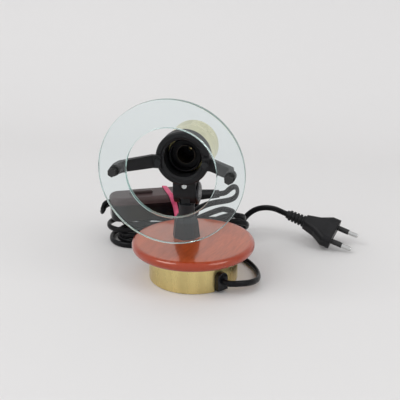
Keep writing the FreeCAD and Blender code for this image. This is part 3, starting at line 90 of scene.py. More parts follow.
class Finish:
    """One procedural material: a principled shader and what drives it."""

    def __init__(self, name, colour, roughness, **constants):
        self.material = bpy.data.materials.new(name)
        self.material.use_nodes = True
        self.tree = self.material.node_tree
        self.shader = self.tree.nodes["Principled BSDF"]
        self.drive(Base_Color=(*colour, 1.0), Roughness=roughness, **constants)

    def node(self, kind, settings, *values, output=0, **named):
        """A new node: its settings first, then its sockets in order or by name."""
        made = self.tree.nodes.new(kind)
        for key, value in settings.items():
            if key == "stops":
                self.set_stops(made.color_ramp, value)
            else:
                setattr(made, key, value)
        for socket, value in zip([s for s in made.inputs if s.enabled], values):
            self.join(socket, value)
        for key, value in named.items():
            self.join(made.inputs[key], value)
        return Wire(self, [s for s in made.outputs if s.enabled][output])

    def set_stops(self, ramp, stops):
        while len(ramp.elements) < len(stops):
            ramp.elements.new(1.0)
        for element, (place, colour) in zip(ramp.elements, stops):
            element.position = place
            element.color = (*colour, 1.0)

    def join(self, socket, value):
        """Link a wire to the socket, or set the socket's own value."""
        if isinstance(value, Wire):
            self.tree.links.new(value.socket, socket)
        else:
            socket.default_value = value

    def place(self, turn=(0.0, 0.0, 0.0), stretch=(1.0, 1.0, 1.0)):
        """Object coordinates in turned axes, the pattern drawn out along each by its stretch."""
        here = self.node("ShaderNodeTexCoord", {}, output=3)
        centre = (0.0, 0.0, 0.0)
        return self.node("ShaderNodeMapping", {"vector_type": "TEXTURE"}, here, centre, turn,
                         stretch)

    def noise(self, where, scale, detail=3.0, roughness=0.55):
        return self.node("ShaderNodeTexNoise", {}, where, scale, detail, roughness)

    def ramp(self, factor, *stops):
        return self.node("ShaderNodeValToRGB", {"stops": stops}, factor)

    def blend(self, factor, first, second):
        """Colour that goes from the first to the second."""
        ends = [end if isinstance(end, Wire) else (*end, 1.0) for end in (first, second)]
        return self.node("ShaderNodeMix", {"data_type": "RGBA"}, factor, *ends)

    def drive(self, **values):
        """Feed the principled shader's sockets, named with underscores for spaces."""
        for key, value in values.items():
            self.join(self.shader.inputs[key.replace("_", " ")], value)
        return self

    def bump(self, height, strength, depth):
        """Relief from a height, with its depth in millimetres."""
        return self.drive(Normal=self.node("ShaderNodeBump", {}, Strength=strength,
                                           Distance=depth * MM, Height=height))


def shade(colour, factor, lift=0.0):
    """The colour made darker or paler."""
    return tuple(min(1.0, c * factor + lift) for c in colour)


finishes = {}


def finish_of(maker):
    """The material of a maker's finish, which is made once."""
    if maker not in finishes:
        finishes[maker] = maker()
    return finishes[maker].material


# The wood: the way of its grain, and where its darker edge starts and ends inside the rim, in
# millimetres.
GRAIN_WAY = (0.0, 0.0, math.radians(78.0))
EDGE_START = 5.0
EDGE_END = 1.5
EDGE_SHADES = (0.68, 0.26, 0.2)


def make_varnished_wood():
    wood = tuple(bpy.context.scene.lamp_finish.wood_colour)
    made = Finish("varnished_wood", wood, 0.35, Coat_Weight=1.0, Coat_Roughness=0.1,
                  Coat_IOR=1.52, Specular_IOR_Level=0.4, Specular_Tint=(1.0, 0.5, 0.2, 1.0))
    along = made.place(turn=GRAIN_WAY, stretch=(9.0, 1.0, 1.0))
    warp = made.noise(along, scale=60.0, detail=2.0)
    fibres = made.noise(along, scale=900.0, detail=4.0, roughness=0.7)
    broad = made.noise(along, scale=170.0)
    grain = fibres * 0.6 + broad * 0.3 + warp * 0.2
    tone = made.ramp(grain, (0.38, shade(wood, 0.62)), (0.56, wood),
                     (0.76, shade(wood, 1.3, 0.01)))
    long_way = made.place(turn=GRAIN_WAY, stretch=(16.0, 1.0, 1.0))
    pore = made.noise(long_way, scale=2600.0, detail=2.0, roughness=0.6).between(0.62, 0.72)
    figured = made.blend(pore * 0.5, tone, shade(wood, 0.35))
    made.drive(Base_Color=made.blend(wood_edge(made) * 0.85, figured,
                                     tuple(c * d for c, d in zip(wood, EDGE_SHADES))),
               Roughness=pore * 0.15 + 0.3)
    return made.bump(grain * 0.5 - pore * 0.3, strength=0.08, depth=0.4)


def wood_edge(made):
    """Nought inside the disc and one at its rim, from the distance to its axis."""
    flattened = made.place(stretch=(1.0, 1.0, 1000.0))
    reach = made.node("ShaderNodeVectorMath", {"operation": "LENGTH"}, flattened)
    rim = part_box("wood_disc")[1].x
    return reach.between(rim - EDGE_START * MM, rim - EDGE_END * MM)


def satin_metal(name, colour):
    """Metal with a soft mottle, fine upright lines, and broad upright bands of gloss that also
    darken its colour as a painted reflection.
    """
    made = Finish(name, colour, 0.3, Metallic=1.0)
    mottle = made.noise(made.place(), scale=70.0)
    fine = made.noise(made.place(stretch=(1.0, 1.0, 16.0)), scale=2400.0, detail=2.0)
    bands = made.noise(made.place(stretch=(1.0, 1.0, 30.0)), scale=90.0, detail=1.0)
    # The colour darkens with the mottle, a random tone, and with the broad upright bands, a
    # painted reflection of the surroundings.
    mottle_and_painted_reflection = (mottle * 0.4 + bands * 0.6).between(0.38, 0.62)
    made.drive(Base_Color=made.blend(mottle_and_painted_reflection, colour, shade(colour, 0.82)),
               Roughness=bands * 0.16 + fine * 0.08 + 0.16)
    return made.bump(fine, strength=0.06, depth=0.2)


def make_satin_brass():
    return satin_metal("satin_brass", tuple(bpy.context.scene.lamp_finish.brass_colour))


def make_champagne_metal():
    return satin_metal("champagne_metal", tuple(bpy.context.scene.lamp_finish.cylinder_colour))


def make_brass_in_painted_shade():
    """Brass of the lampholder's thread, darkened as painted shade for the unlit inside of the
    holder, and stained in patches.
    """
    made = Finish("brass_in_painted_shade", (0.03, 0.025, 0.018), 0.4, Metallic=0.8)
    stain = made.noise(made.place(), scale=300.0)
    made.drive(Base_Color=made.blend(stain.between(0.4, 0.6), (0.036, 0.029, 0.02),
                                     (0.018, 0.015, 0.012)),
               Roughness=stain * 0.3 + 0.25)
    return made.bump(stain, strength=0.1, depth=0.2)


def plain_metal(name, colour, roughness, scale, detail, spread, base, relief):
    """Bare metal whose gloss and surface vary with one noise."""
    made = Finish(name, colour, roughness, Metallic=1.0)
    fine = made.noise(made.place(), scale, detail)
    made.drive(Roughness=fine * spread + base)
    return made.bump(fine, relief, depth=0.2)


def make_bright_steel():
    return plain_metal("bright_steel", (0.62, 0.62, 0.61), 0.2, scale=900.0, detail=2.0,
                       spread=0.12, base=0.14, relief=0.03)


def make_grey_steel():
    return plain_metal("grey_steel", (0.42, 0.42, 0.42), 0.4, scale=700.0, detail=3.0,
                       spread=0.2, base=0.3, relief=0.08)


def make_dark_steel():
    return plain_metal("dark_steel", (0.035, 0.035, 0.038), 0.25, scale=800.0, detail=3.0,
                       spread=0.16, base=0.18, relief=0.06)


def make_cast_iron():
    made = Finish("cast_iron", (0.06, 0.06, 0.06), 0.75, Metallic=0.6)
    rough = made.noise(made.place(), scale=500.0, detail=5.0)
    made.drive(Roughness=rough * 0.3 + 0.55)
    return made.bump(rough, strength=0.4, depth=0.5)


def moulded(name, colour, roughness, grain_scale, relief, **constants):
    """Moulded plastic: a fine grain, faint flow marks and a slightly uneven gloss."""
    made = Finish(name, colour, roughness, **constants)
    grain = made.noise(made.place(), grain_scale)
    flow = made.noise(made.place(), scale=45.0, detail=2.0)
    made.drive(Base_Color=made.blend(flow.between(0.4, 0.7) * 0.5, colour,
                                     shade(colour, 1.7, 0.004)),
               Roughness=flow * 0.14 + grain * 0.08 + (roughness - 0.11))
    return made.bump(grain, relief, depth=0.3)


def make_moulded_black():
    return moulded("moulded_black", (0.008, 0.008, 0.009), 0.45, grain_scale=1500.0,
                   relief=0.12, Specular_IOR_Level=0.25)


# Black plastic of the lampholder, made darker and duller than the other blacks as painted shade
# for the deep bore of the collar.
def make_holder_black_in_painted_shade():
    return moulded("holder_black_in_painted_shade", (0.003, 0.003, 0.0035), 0.35, grain_scale=1200.0,
                   relief=0.06, Specular_IOR_Level=0.1)


def make_foot_black():
    return moulded("foot_black", (0.01, 0.011, 0.013), 0.4, grain_scale=1500.0,
                   relief=0.08, Specular_IOR_Level=0.3)


def make_gloss_black():
    return moulded("gloss_black", (0.004, 0.004, 0.005), 0.25, grain_scale=900.0,
                   relief=0.03, Coat_Weight=0.25, Coat_Roughness=0.08, Specular_IOR_Level=0.2)


# The dimmer's top shell is black plastic; its brownish colour is a painted sheen, the warm
# reflection seen on its top.
def make_dimmer_cover_painted_sheen():
    return moulded("dimmer_cover_painted_sheen", (0.05, 0.03, 0.03), 0.42, grain_scale=1800.0,
                   relief=0.1, Specular_IOR_Level=0.35)


# The slider's dark brown is the same painted sheen as the top shell's, a little darker.
def make_slider_painted_sheen():
    return moulded("slider_painted_sheen", (0.034, 0.02, 0.02), 0.38, grain_scale=1800.0,
                   relief=0.08, Specular_IOR_Level=0.35)


def make_plug_rubber():
    return moulded("plug_rubber", (0.009, 0.009, 0.01), 0.42, grain_scale=1000.0,
                   relief=0.1, Specular_IOR_Level=0.22)


def make_soft_rubber():
    return moulded("soft_rubber", (0.012, 0.012, 0.012), 0.6, grain_scale=1200.0, relief=0.15)


def make_pale_plastic():
    return moulded("pale_plastic", (0.6, 0.58, 0.52), 0.45, grain_scale=900.0, relief=0.06)


def make_cord_sheath():
    """Dark sheath of the cord, scuffed paler in patches."""
    made = Finish("cord_sheath", (0.007, 0.007, 0.008), 0.3, Specular_IOR_Level=0.14)
    scuff = made.noise(made.place(), scale=260.0, detail=4.0)
    fine = made.noise(made.place(), scale=1800.0, detail=2.0)
    made.drive(Base_Color=made.blend(scuff.between(0.5, 0.8) * 0.35, (0.006, 0.006, 0.007),
                                     (0.022, 0.022, 0.022)),
               Roughness=scuff * 0.2 + 0.2)
    return made.bump(fine * 0.4 + scuff * 0.6, strength=0.05, depth=0.3)


def make_band_rubber():
    colour = tuple(bpy.context.scene.lamp_finish.band_colour)
    made = Finish("band_rubber", colour, 0.5, Subsurface_Weight=0.15, Subsurface_Scale=2.0 * MM)
    fine = made.noise(made.place(), scale=1500.0)
    patch = made.noise(made.place(), scale=120.0, detail=2.0)
    made.drive(Base_Color=made.blend(patch.between(0.35, 0.7), colour, shade(colour, 0.72)),
               Roughness=patch * 0.15 + 0.42)
    return made.bump(fine, strength=0.12, depth=0.2)


def make_felt():
    made = Finish("felt", (0.02, 0.02, 0.02), 0.95)
    fuzz = made.noise(made.place(), scale=1600.0, detail=4.0)
    made.drive(Base_Color=made.blend(fuzz.between(0.4, 0.7), (0.014, 0.014, 0.014),
                                     (0.04, 0.04, 0.04)))
    return made.bump(fuzz, strength=0.4, depth=0.4)


def make_clear_glass():
    """Clear glass with the faint smudges that fingers leave."""
    tint = tuple(bpy.context.scene.lamp_finish.glass_colour)
    made = Finish("clear_glass", tint, 0.0, Transmission_Weight=1.0, IOR=1.5)
    smudge = made.noise(made.place(), scale=55.0, detail=4.0)
    return made.drive(Roughness=smudge.between(0.58, 0.8, 0.0, 0.03))


def make_glass_edge():
    """The ground edge: a deeper tint and fine marks of grinding."""
    made = Finish("glass_edge", (0.62, 0.89, 0.84), 0.1, Transmission_Weight=0.78, IOR=1.5)
    marks = made.noise(made.place(), scale=1300.0, detail=2.0)
    made.drive(Roughness=marks * 0.1 + 0.05)
    return made.bump(marks, strength=0.04, depth=0.1)


def make_pale_floor():
    return Finish("pale_floor", (0.715, 0.704, 0.697), 0.6, Specular_IOR_Level=0.2)


NODE_FINISHES = (
    (make_varnished_wood, ["wood_disc"]),
    (make_satin_brass, ["brass_ring", "holder_contact"]),
    (make_champagne_metal, ["lamp_cylinder", "rear_nut"]),
    (make_dark_steel, ["pivot_screw", "pivot_nut"]),
    (make_brass_in_painted_shade, ["holder_thread"]),
    (make_moulded_black, ["fork", "collar", "arm_left", "arm_right"]),
    (make_holder_black_in_painted_shade, ["lampholder_shell", "holder_core"]),
    (make_foot_black, ["foot_block", "column", "arm_screws"]),
    (make_gloss_black, ["dimmer_lower_shell", "cord_gland"]),
    (make_slider_painted_sheen, ["dimmer_slider"]),
    (make_dimmer_cover_painted_sheen, ["dimmer_upper_shell"]),
    (make_plug_rubber, ["plug_body", "plug_boot", "dimmer_boot"]),
    (make_soft_rubber, ["glass_bushes", "plug_sleeves", "peg_caps"]),
    (make_pale_plastic, ["swivel_bush", "terminal_block", "pivot_washers", "holder_spacer",
                         "dimmer_board"]),
    (make_cord_sheath, ["inner_lead", "boot_lead", "plug_lead"]),
    (make_bright_steel, ["neck_screw", "plug_pins"]),
    (make_grey_steel, ["bottom_plate", "base_screws", "foot_screws", "swivel_stem",
                       "stem_washer", "stem_nut", "terminal_screws", "holder_nipple",
                       "dimmer_screws"]),
    (make_cast_iron, ["ballast_weight"]),
    (make_felt, ["base_pad"]),
)


def dress_node(name, material):
    """Give a carried-over node of the frame its finish."""
    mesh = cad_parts[name].data
    mesh.materials.clear()
    mesh.materials.append(material)


def new_piece(name, mesh, body, slot, *nodes):
    """A finished mesh as a piece that rides on a body and stands for nodes."""
    piece = bpy.data.objects.new(name, mesh)
    bpy.context.scene.collection.objects.link(piece)
    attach(piece, body)
    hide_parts(*nodes)
    return piece


def plain_mesh(source, name):
    """What an object's modifiers make of it, as a mesh of its own."""
    bpy.context.view_layer.update()
    graph = bpy.context.evaluated_depsgraph_get()
    mesh = bpy.data.meshes.new_from_object(source.evaluated_get(graph), depsgraph=graph)
    mesh.name = name
    return mesh


def closed_mesh(name, rings):
    """A mesh of rings of points, each joined to the next and the last to the first."""
    count = len(rings[0])
    faces = []
    for k in range(len(rings)):
        here, there = k * count, (k + 1) % len(rings) * count
        for j in range(count):
            beside = (j + 1) % count
            faces.append((here + j, here + beside, there + beside, there + j))
    mesh = bpy.data.meshes.new(name)
    mesh.from_pydata([point for ring in rings for point in ring], [], faces)
    turn_out(mesh)
    return mesh


def turn_out(mesh):
    """Merge doubles and make every face point outwards."""
    shape = bmesh.new()
    shape.from_mesh(mesh)
    bmesh.ops.remove_doubles(shape, verts=shape.verts, dist=0.001 * MM)
    bmesh.ops.recalc_face_normals(shape, faces=shape.faces)
    shape.to_mesh(mesh)
    shape.free()


def lathe(name, profile, centre, axis, steps):
    """A closed mesh turned from (radius, distance along the axis) corners in millimetres."""
    along = Vector(axis).normalized()
    across = along.orthogonal().normalized()
    third = along.cross(across)
    rings = []
    for k in range(steps):
        angle = 2.0 * math.pi * k / steps
        out = across * math.cos(angle) + third * math.sin(angle)
        rings.append([Vector(centre) * MM + out * (r * MM) + along * (h * MM)
                      for r, h in profile])
    return closed_mesh(name, rings)


# The glass, in millimetres: a flat ring whose corners are ground to a small round.
GLASS_HOLE = 34.0
GLASS_ROUND = 0.45
ROUND_STEPS = 4
GLASS_STEPS = 180
# How much of a face's normal lies along the axis: above the first it is shaded flat, above the
# second it is clear glass, and the rest is the ground edge.
FLAT_SHARE = 0.999
CLEAR_SHARE = 0.9


def ground_corner(radius, inwards, face, other_face):
    """A quarter round from a flat face to a cylindrical one, as (radius, distance) corners."""
    to_middle = math.copysign(1.0, other_face - face)
    corner = []
    for k in range(ROUND_STEPS + 1):
        t = math.pi / 2 * k / ROUND_STEPS
        corner.append((radius + inwards * GLASS_ROUND * (1 - math.sin(t)),
                       face + to_middle * GLASS_ROUND * (1 - math.cos(t))))
    return corner


def make_glass_ring():
    low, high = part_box("glass_ring")
    centre = ((low.x + high.x) / 2 / MM, high.y / MM, (low.z + high.z) / 2 / MM)
    front, back = low.y / MM - centre[1], 0.0
    hole = (GLASS_HOLE, 1.0)
    rim = ((high.z - low.z) / 2 / MM, -1.0)
    profile = ground_corner(*hole, back, front)
    profile += reversed(ground_corner(*hole, front, back))
    profile += ground_corner(*rim, front, back)
    profile += reversed(ground_corner(*rim, back, front))
    mesh = lathe("glass_ring_look", profile, centre, (0.0, 1.0, 0.0), GLASS_STEPS)
    mesh.materials.append(finish_of(make_clear_glass))
    mesh.materials.append(finish_of(make_glass_edge))
    for face in mesh.polygons:
        share = abs(face.normal.y)
        face.use_smooth = share <= FLAT_SHARE
        face.material_index = 0 if share > CLEAR_SHARE else 1
    return mesh


# The cord's route, in millimetres. It follows the solids' cord, except at the loops on the
# right, the arch and the lobe by the dimmer, which are set to the photo.
HANK = {"x": -29.5, "y": 72.5, "turn": math.radians(13.5)}
DIMMER = {"u": -18.2, "v": 83.7, "turn": math.radians(24.0), "floor": 23.7}
GLAND = {"reach": 41.0, "height": 10.2, "turn": math.radians(-43.0)}
PLUG_PLACE = (111.1, 83.0, 12.0)
PLUG_TURNS = {"Z": -11.5, "Y": 15.8, "X": 19.0}
ROUTE_STEPS = 8
CORD_SIDES = 20


def hank_place(along, across, height):
    """A point in the hank's own directions, with its height above the table."""
    cos, sin = math.cos(HANK["turn"]), math.sin(HANK["turn"])
    return (HANK["x"] + along * cos - across * sin, HANK["y"] + along * sin + across * cos, height)


def dimmer_place(along, across, height):
    """A point in the dimmer's own directions, with its height above the dimmer's underside."""
    cos, sin = math.cos(DIMMER["turn"]), math.sin(DIMMER["turn"])
    u, v = DIMMER["u"] + along, DIMMER["v"] + across
    return (u * cos - v * sin, u * sin + v * cos, DIMMER["floor"] + height)


def plug_place(along):
    """A point on the plug's own middle line."""
    turn = Matrix.Identity(3)
    for axis, degrees in PLUG_TURNS.items():
        turn = turn @ Matrix.Rotation(math.radians(degrees), 3, axis)
    return tuple(Vector(PLUG_PLACE) + turn @ Vector((along, 0.0, 0.0)))


# The hank's loops from the lowest up: how far each reaches to the left and to the right, where
# its front run starts to rise, how much it rises, and what the photo adds to that.
HANK_LEFT = (39.0, 41.0, 48.0, 38.0)
HANK_RIGHT = (50.0, 44.5, 38.0)
HANK_BEND = (4.0, 0.0, -4.0, -8.0)
HANK_RISE = (11.5, 12.5, 14.0)
HANK_LIFT = (7.2, 7.0, 5.8)
# The places of the rear and front runs, the step from one run to the next, and the lowest run.
REAR, FRONT, STEP, LOW = 17.0, -14.15, 5.7, 3.7
TURN_CORNERS = 4


def hank_turn(along, begin, end, begin_height, end_height, way):
    """The corners of a half turn from one run to the next, with its change of height."""
    radius, middle = abs(end - begin) / 2, (begin + end) / 2
    spacing = math.pi / TURN_CORNERS
    reach = radius / math.cos(spacing / 2)
    side = math.copysign(1.0, begin - end)
    corners = []
    for k in range(TURN_CORNERS):
        angle = spacing * (k + 0.5)
        height = begin_height + (end_height - begin_height) * (1 - math.cos(angle)) / 2
        corners.append(hank_place(along + way * reach * math.sin(angle),
                                  middle + side * reach * math.cos(angle), height))
    return corners


def hank_points():
    """Four long loops, flat one on the other at the left and fanned upwards at the right."""
    points = [hank_place(along, REAR, LOW) for along in (48.0, 20.0, -12.0, -HANK_LEFT[0])]
    for level, left in enumerate(HANK_LEFT):
        low = LOW + STEP * level
        bend = HANK_BEND[level]
        points += hank_turn(-left, REAR - STEP * (level % 2), FRONT, low, low, -1.0)
        points += [hank_place(along, FRONT, low) for along in (-left, -25.0, bend)]
        if level == len(HANK_RIGHT):
            break
        right, lift = HANK_RIGHT[level], HANK_LIFT[level]
        rise = HANK_RISE[level] + lift
        following = REAR - STEP * ((level + 1) % 2)
        points += [hank_place((bend + right) / 2, FRONT, low + rise / 2 + lift * 0.2),
                   hank_place(right, FRONT, low + rise)]
        points += hank_turn(right, FRONT, following, low + rise, low, 1.0)
        points += [hank_place(right, following, low), hank_place(11.0, following, low),
                   hank_place(-16.0, following, low + STEP),
                   hank_place(-HANK_LEFT[level + 1], following, low + STEP)]
    return points + [hank_place(21.0, FRONT, 37.2), hank_place(30.0, FRONT, 40.4)]


def lamp_lead_points():
    """From the gland round the base and the hank's left end, up into the dimmer's left end."""
    return [
        (GLAND["reach"] * math.cos(GLAND["turn"]), GLAND["reach"] * math.sin(GLAND["turn"]),
         GLAND["height"]),
        (33.3, -31.1, 10.2), (37.8, -31.4, 10.3), (43.2, -29.2, 10.1), (48.6, -25.2, 9.2),
        (52.4, -19.2, 7.9), (54.5, -11.0, 6.0), (54.4, -1.0, 4.1), (52.0, 10.0, 3.0),
        (47.0, 21.0, 2.7), (39.5, 31.5, 2.7), (28.0, 40.5, 2.7), (13.0, 45.5, 2.7),
        (-7.0, 47.2, 2.7), (-30.0, 46.6, 2.7),
        hank_place(-30.0, -21.0, 2.7), hank_place(-44.0, -20.6, 2.7),
        hank_place(-54.0, -16.4, 2.7), hank_place(-60.6, -7.5, 2.7),
        hank_place(-62.0, 3.0, 2.7), hank_place(-58.6, 14.4, 2.9),
        hank_place(-50.4, 22.0, 3.6), hank_place(-39.5, 24.4, 5.4),
        hank_place(-30.0, 24.2, 9.0), hank_place(-23.6, 24.0, 14.6),
        hank_place(-21.6, 23.6, 21.6), hank_place(-25.0, 22.4, 27.8),
        hank_place(-33.0, 19.6, 31.0),
        dimmer_place(-33.0, 18.2, 8.2), dimmer_place(-40.6, 17.2, 7.4),
        dimmer_place(-45.4, 12.0, 6.0), dimmer_place(-48.0, 4.0, 5.0),
        dimmer_place(-47.4, -3.0, 8.4), dimmer_place(-45.4, -0.4, 15.4),
        dimmer_place(-38.5, 0.0, 16.0)]


def plug_lead_points():
    """From the dimmer's boot over its arch, through the hank, and on to the plug."""
    arch = [
        dimmer_place(60.0, 0.0, 16.0), dimmer_place(66.0, 0.0, 16.0), (13.0, 98.0, 43.4),
        (17.2, 97.0, 46.6), (20.8, 92.6, 47.2), (22.6, 86.6, 45.6), (22.4, 80.6, 43.2),
        (19.8, 75.0, 42.0), (15.2, 70.4, 41.8), hank_place(37.0, FRONT, 41.6)]
    tail = [
        hank_place(53.0, REAR, 3.8), (22.5, 102.8, 7.5), (26.5, 103.6, 13.0),
        (31.5, 103.2, 19.0), (38.0, 101.0, 24.2), (46.0, 98.2, 27.3), (55.2, 95.2, 28.1),
        plug_place(-50.5), plug_place(-46.5)]
    return arch + hank_points()[::-1] + tail


def route(name, points):
    """One smooth open spline with the route's points as its control points."""
    curve = bpy.data.curves.new(name, "CURVE")
    curve.dimensions = "3D"
    curve.resolution_u = ROUTE_STEPS
    spline = curve.splines.new("NURBS")
    spline.points.add(len(points) - 1)
    for point, place in zip(spline.points, points):
        point.co = (*(Vector(place) * MM), 1.0)
    spline.order_u = 3
    spline.use_endpoint_u = True
    line = bpy.data.objects.new(name, curve)
    bpy.context.scene.collection.objects.link(line)
    return line


def tree_node(tree, kind, **values):
    """A new node whose named inputs take a link from a socket, or else a value."""
    made = tree.nodes.new(kind)
    for name, value in values.items():
        socket = made.inputs[name.replace("_", " ")]
        if isinstance(value, bpy.types.NodeSocket):
            tree.links.new(value, socket)
        else:
            socket.default_value = value
    return made


def sheath_tree():
    """Geometry Nodes that sweep the cord's oval section along a curve."""
    tree = bpy.data.node_groups.new("cord_sweep", "GeometryNodeTree")
    for name, kind in (("Route", "Geometry"), ("Width", "Float"), ("Height", "Float"),
                       ("Sides", "Int"), ("Finish", "Material")):
        tree.interface.new_socket(name, in_out="INPUT", socket_type="NodeSocket" + kind)
    tree.interface.new_socket("Cord", in_out="OUTPUT", socket_type="NodeSocketGeometry")
    given = tree.nodes.new("NodeGroupInput").outputs
    circle = tree_node(tree, "GeometryNodeCurvePrimitiveCircle", Resolution=given["Sides"],
                       Radius=0.5)
    size = tree_node(tree, "ShaderNodeCombineXYZ", X=given["Width"], Y=given["Height"], Z=1.0)
    oval = tree_node(tree, "GeometryNodeTransform", Geometry=circle.outputs["Curve"],
                     Scale=size.outputs["Vector"])
    upright = tree_node(tree, "GeometryNodeSetCurveNormal", Curve=given["Route"])
    upright.mode = "Z_UP"
    sweep = tree_node(tree, "GeometryNodeCurveToMesh", Curve=upright.outputs["Curve"],
                      Profile_Curve=oval.outputs["Geometry"], Fill_Caps=True)
    smooth = tree_node(tree, "GeometryNodeSetShadeSmooth", Geometry=sweep.outputs["Mesh"])
    whole = tree_node(tree, "GeometryNodeRealizeInstances", Geometry=smooth.outputs["Geometry"])
    paint = tree_node(tree, "GeometryNodeSetMaterial", Geometry=whole.outputs["Geometry"],
                      Material=given["Finish"])
    tree_node(tree, "NodeGroupOutput", Cord=paint.outputs["Geometry"])
    return tree


def set_input(modifier, name, value):
    """Set a modifier's named input through the socket's identifier."""
    for item in modifier.node_group.interface.items_tree:
        if item.name == name and item.in_out == "INPUT":
            modifier[item.identifier] = value
            return
    raise KeyError(name)


def cord_piece(name, points, nodes):
    """A cord's sheath along its route, as a piece that stands for nodes."""
    sizes = bpy.context.scene.lamp_sizes
    line = route(name + "_line", points)
    path = [tuple(v.co) for v in plain_mesh(line, name + "_path").vertices]
    modifier = line.modifiers.new("sweep", "NODES")
    modifier.node_group = bpy.data.node_groups.get("cord_sweep") or sheath_tree()
    set_input(modifier, "Width", sizes.cord_width)
    set_input(modifier, "Height", sizes.cord_height)
    set_input(modifier, "Sides", CORD_SIDES)
    set_input(modifier, "Finish", finish_of(make_cord_sheath))
    mesh = plain_mesh(line, name)
    bpy.data.objects.remove(line)
    piece = new_piece(name, mesh, "base", "cord_rubber", *nodes)


# The rubber band, in millimetres: the corners that it is stretched round, each with its way
# out, and its flat section as (across, out) points.
BAND_CORNERS = [
    (dimmer_place(11.0, 12.9, 22.3), (0.0, 0.4, 1.0)),
    (dimmer_place(11.2, 9.0, 22.1), (0.0, 0.0, 1.0)),
    (dimmer_place(12.2, -9.0, 22.1), (0.0, 0.0, 1.0)),
    (dimmer_place(12.8, -12.9, 22.5), (0.0, -0.4, 1.0)),
    (dimmer_place(14.0, -15.3, 18.8), (0.0, -1.0, 0.4)),
    (dimmer_place(16.4, -14.8, 12.0), (0.0, -1.0, 0.0)),
    (hank_place(-1.0, -17.8, 27.0), (0.0, -1.0, 0.0)),
    (hank_place(-1.4, -17.3, 18.0), (0.0, -1.0, 0.0)),
    (hank_place(-2.0, -17.1, 2.6), (0.2, -1.0, -0.3)),
    (hank_place(-2.4, -14.2, 1.0), (0.0, -0.3, -1.0)),
    (hank_place(-4.5, 17.0, 1.0), (0.0, 0.3, -1.0)),
    (hank_place(-5.0, 20.1, 2.6), (-0.2, 1.0, -0.3)),
    (hank_place(-4.0, 20.1, 21.0), (-0.2, 1.0, 0.0)),
    (dimmer_place(12.0, 14.6, 12.0), (0.0, 1.0, 0.0)),
    (dimmer_place(11.6, 15.3, 18.8), (0.0, 1.0, 0.4))]
BAND_SECTION = ((-2.1, 0.0), (-2.3, 0.4), (-2.1, 0.8), (2.1, 0.8), (2.3, 0.4), (2.1, 0.0))
BAND_STEPS = 8
BAND_SMOOTHING = 24


def band_line():
    """The places along the band, rounded at its corners, each with its way out."""
    corners = [(Vector(place), Vector(out).normalized()) for place, out in BAND_CORNERS]
    count = len(corners)
    line = []
    for k in range(count):
        (a, out_a), (b, out_b), (c, out_c) = (corners[(k + j) % count] for j in (-1, 0, 1))
        for step in range(BAND_STEPS):
            u = step / BAND_STEPS
            place = ((1 - u) ** 2 * (a + b) + u * u * (b + c)) / 2 + 2 * u * (1 - u) * b
            out = out_a.lerp(out_b, 0.5 + u / 2).lerp(out_b.lerp(out_c, u / 2), u)
            line.append((place, out))
    return line


def make_band():
    """A closed strip, 4.6 wide and 0.8 thick, that turns evenly as it goes round."""
    line = band_line()
    total = len(line)
    alongs = [(line[(k + 1) % total][0] - line[k - 1][0]).normalized() for k in range(total)]
    sides = [along.cross(out).normalized() for along, (_, out) in zip(alongs, line)]
    for _ in range(BAND_SMOOTHING):
        sides = [(sides[k - 1] + 2.0 * sides[k] + sides[(k + 1) % total]).normalized()
                 for k in range(total)]
    rings = []
    for (place, _), along, side in zip(line, alongs, sides):
        side = (side - along * side.dot(along)).normalized()
        out = side.cross(along)
        rings.append([(place + side * across + out * lift) * MM
                      for across, lift in BAND_SECTION])
    mesh = closed_mesh("band_look", rings)
    mesh.materials.append(finish_of(make_band_rubber))
    for face in mesh.polygons:
        face.use_smooth = True
    return mesh


# The stage, in metres: a floor that sweeps up into a wall behind the lamp, the soft lamps as
# name, place, width and watts, and the camera as it was fitted to the photo.
FLOOR_FRONT = -4.0
FLOOR_BACK = 0.36
FLOOR_SIDE = 5.0
SWEEP_RADIUS = 0.3
SWEEP_STEPS = 12
WALL_TOP = 4.0
ROOM_COLOUR = (0.97, 0.98, 1.0, 1.0)
ROOM_STRENGTH = 0.8
SOFT_LAMPS = (
    ("key", (-0.9, -0.7, 1.3), 0.9, 9.0),
    ("fill", (1.0, -0.5, 0.9), 0.8, 4.0),
)
LAMP_TARGET = (0.0, 0.0, 0.05)
CAMERA_PLACE = (0.12189645, -0.55813152, 0.27055132)
CAMERA_FORWARD = (-0.19210991, 0.92146963, -0.33762035)
CAMERA_RIGHT = (0.97895133, 0.20409382, 0.0)
FOCAL_PIXELS = 761.343
PICTURE_PIXELS = 400.0
SENSOR_WIDTH = 36.0


def lay_floor(scene):
    edge = [(FLOOR_FRONT, 0.0)]
    for k in range(SWEEP_STEPS + 1):
        angle = math.pi / 2 * k / SWEEP_STEPS
        edge.append((FLOOR_BACK + SWEEP_RADIUS * math.sin(angle),
                     SWEEP_RADIUS - SWEEP_RADIUS * math.cos(angle)))
    edge.append((FLOOR_BACK + SWEEP_RADIUS, WALL_TOP))
    mesh = bpy.data.meshes.new("floor")
    mesh.from_pydata([(x, y, z) for y, z in edge for x in (-FLOOR_SIDE, FLOOR_SIDE)], [],
                     [(2 * k, 2 * k + 1, 2 * k + 3, 2 * k + 2) for k in range(len(edge) - 1)])
    for face in mesh.polygons:
        face.use_smooth = True
    mesh.materials.append(finish_of(make_pale_floor))
    floor = bpy.data.objects.new("floor", mesh)
    scene.collection.objects.link(floor)


def light_room(scene):
    world = bpy.data.worlds.new("pale_room")
    world.use_nodes = True
    background = world.node_tree.nodes["Background"]
    background.inputs["Color"].default_value = ROOM_COLOUR
    background.inputs["Strength"].default_value = ROOM_STRENGTH
    scene.world = world


def add_soft_lamp(scene, name, place, size, power):
    light = bpy.data.lights.new(name, "AREA")
    light.shape = "DISK"
    light.size = size
    light.energy = power
    lamp = bpy.data.objects.new(name, light)
    lamp.location = place
    way = Vector(LAMP_TARGET) - Vector(place)
    lamp.rotation_euler = way.to_track_quat("-Z", "Y").to_euler()
    scene.collection.objects.link(lamp)


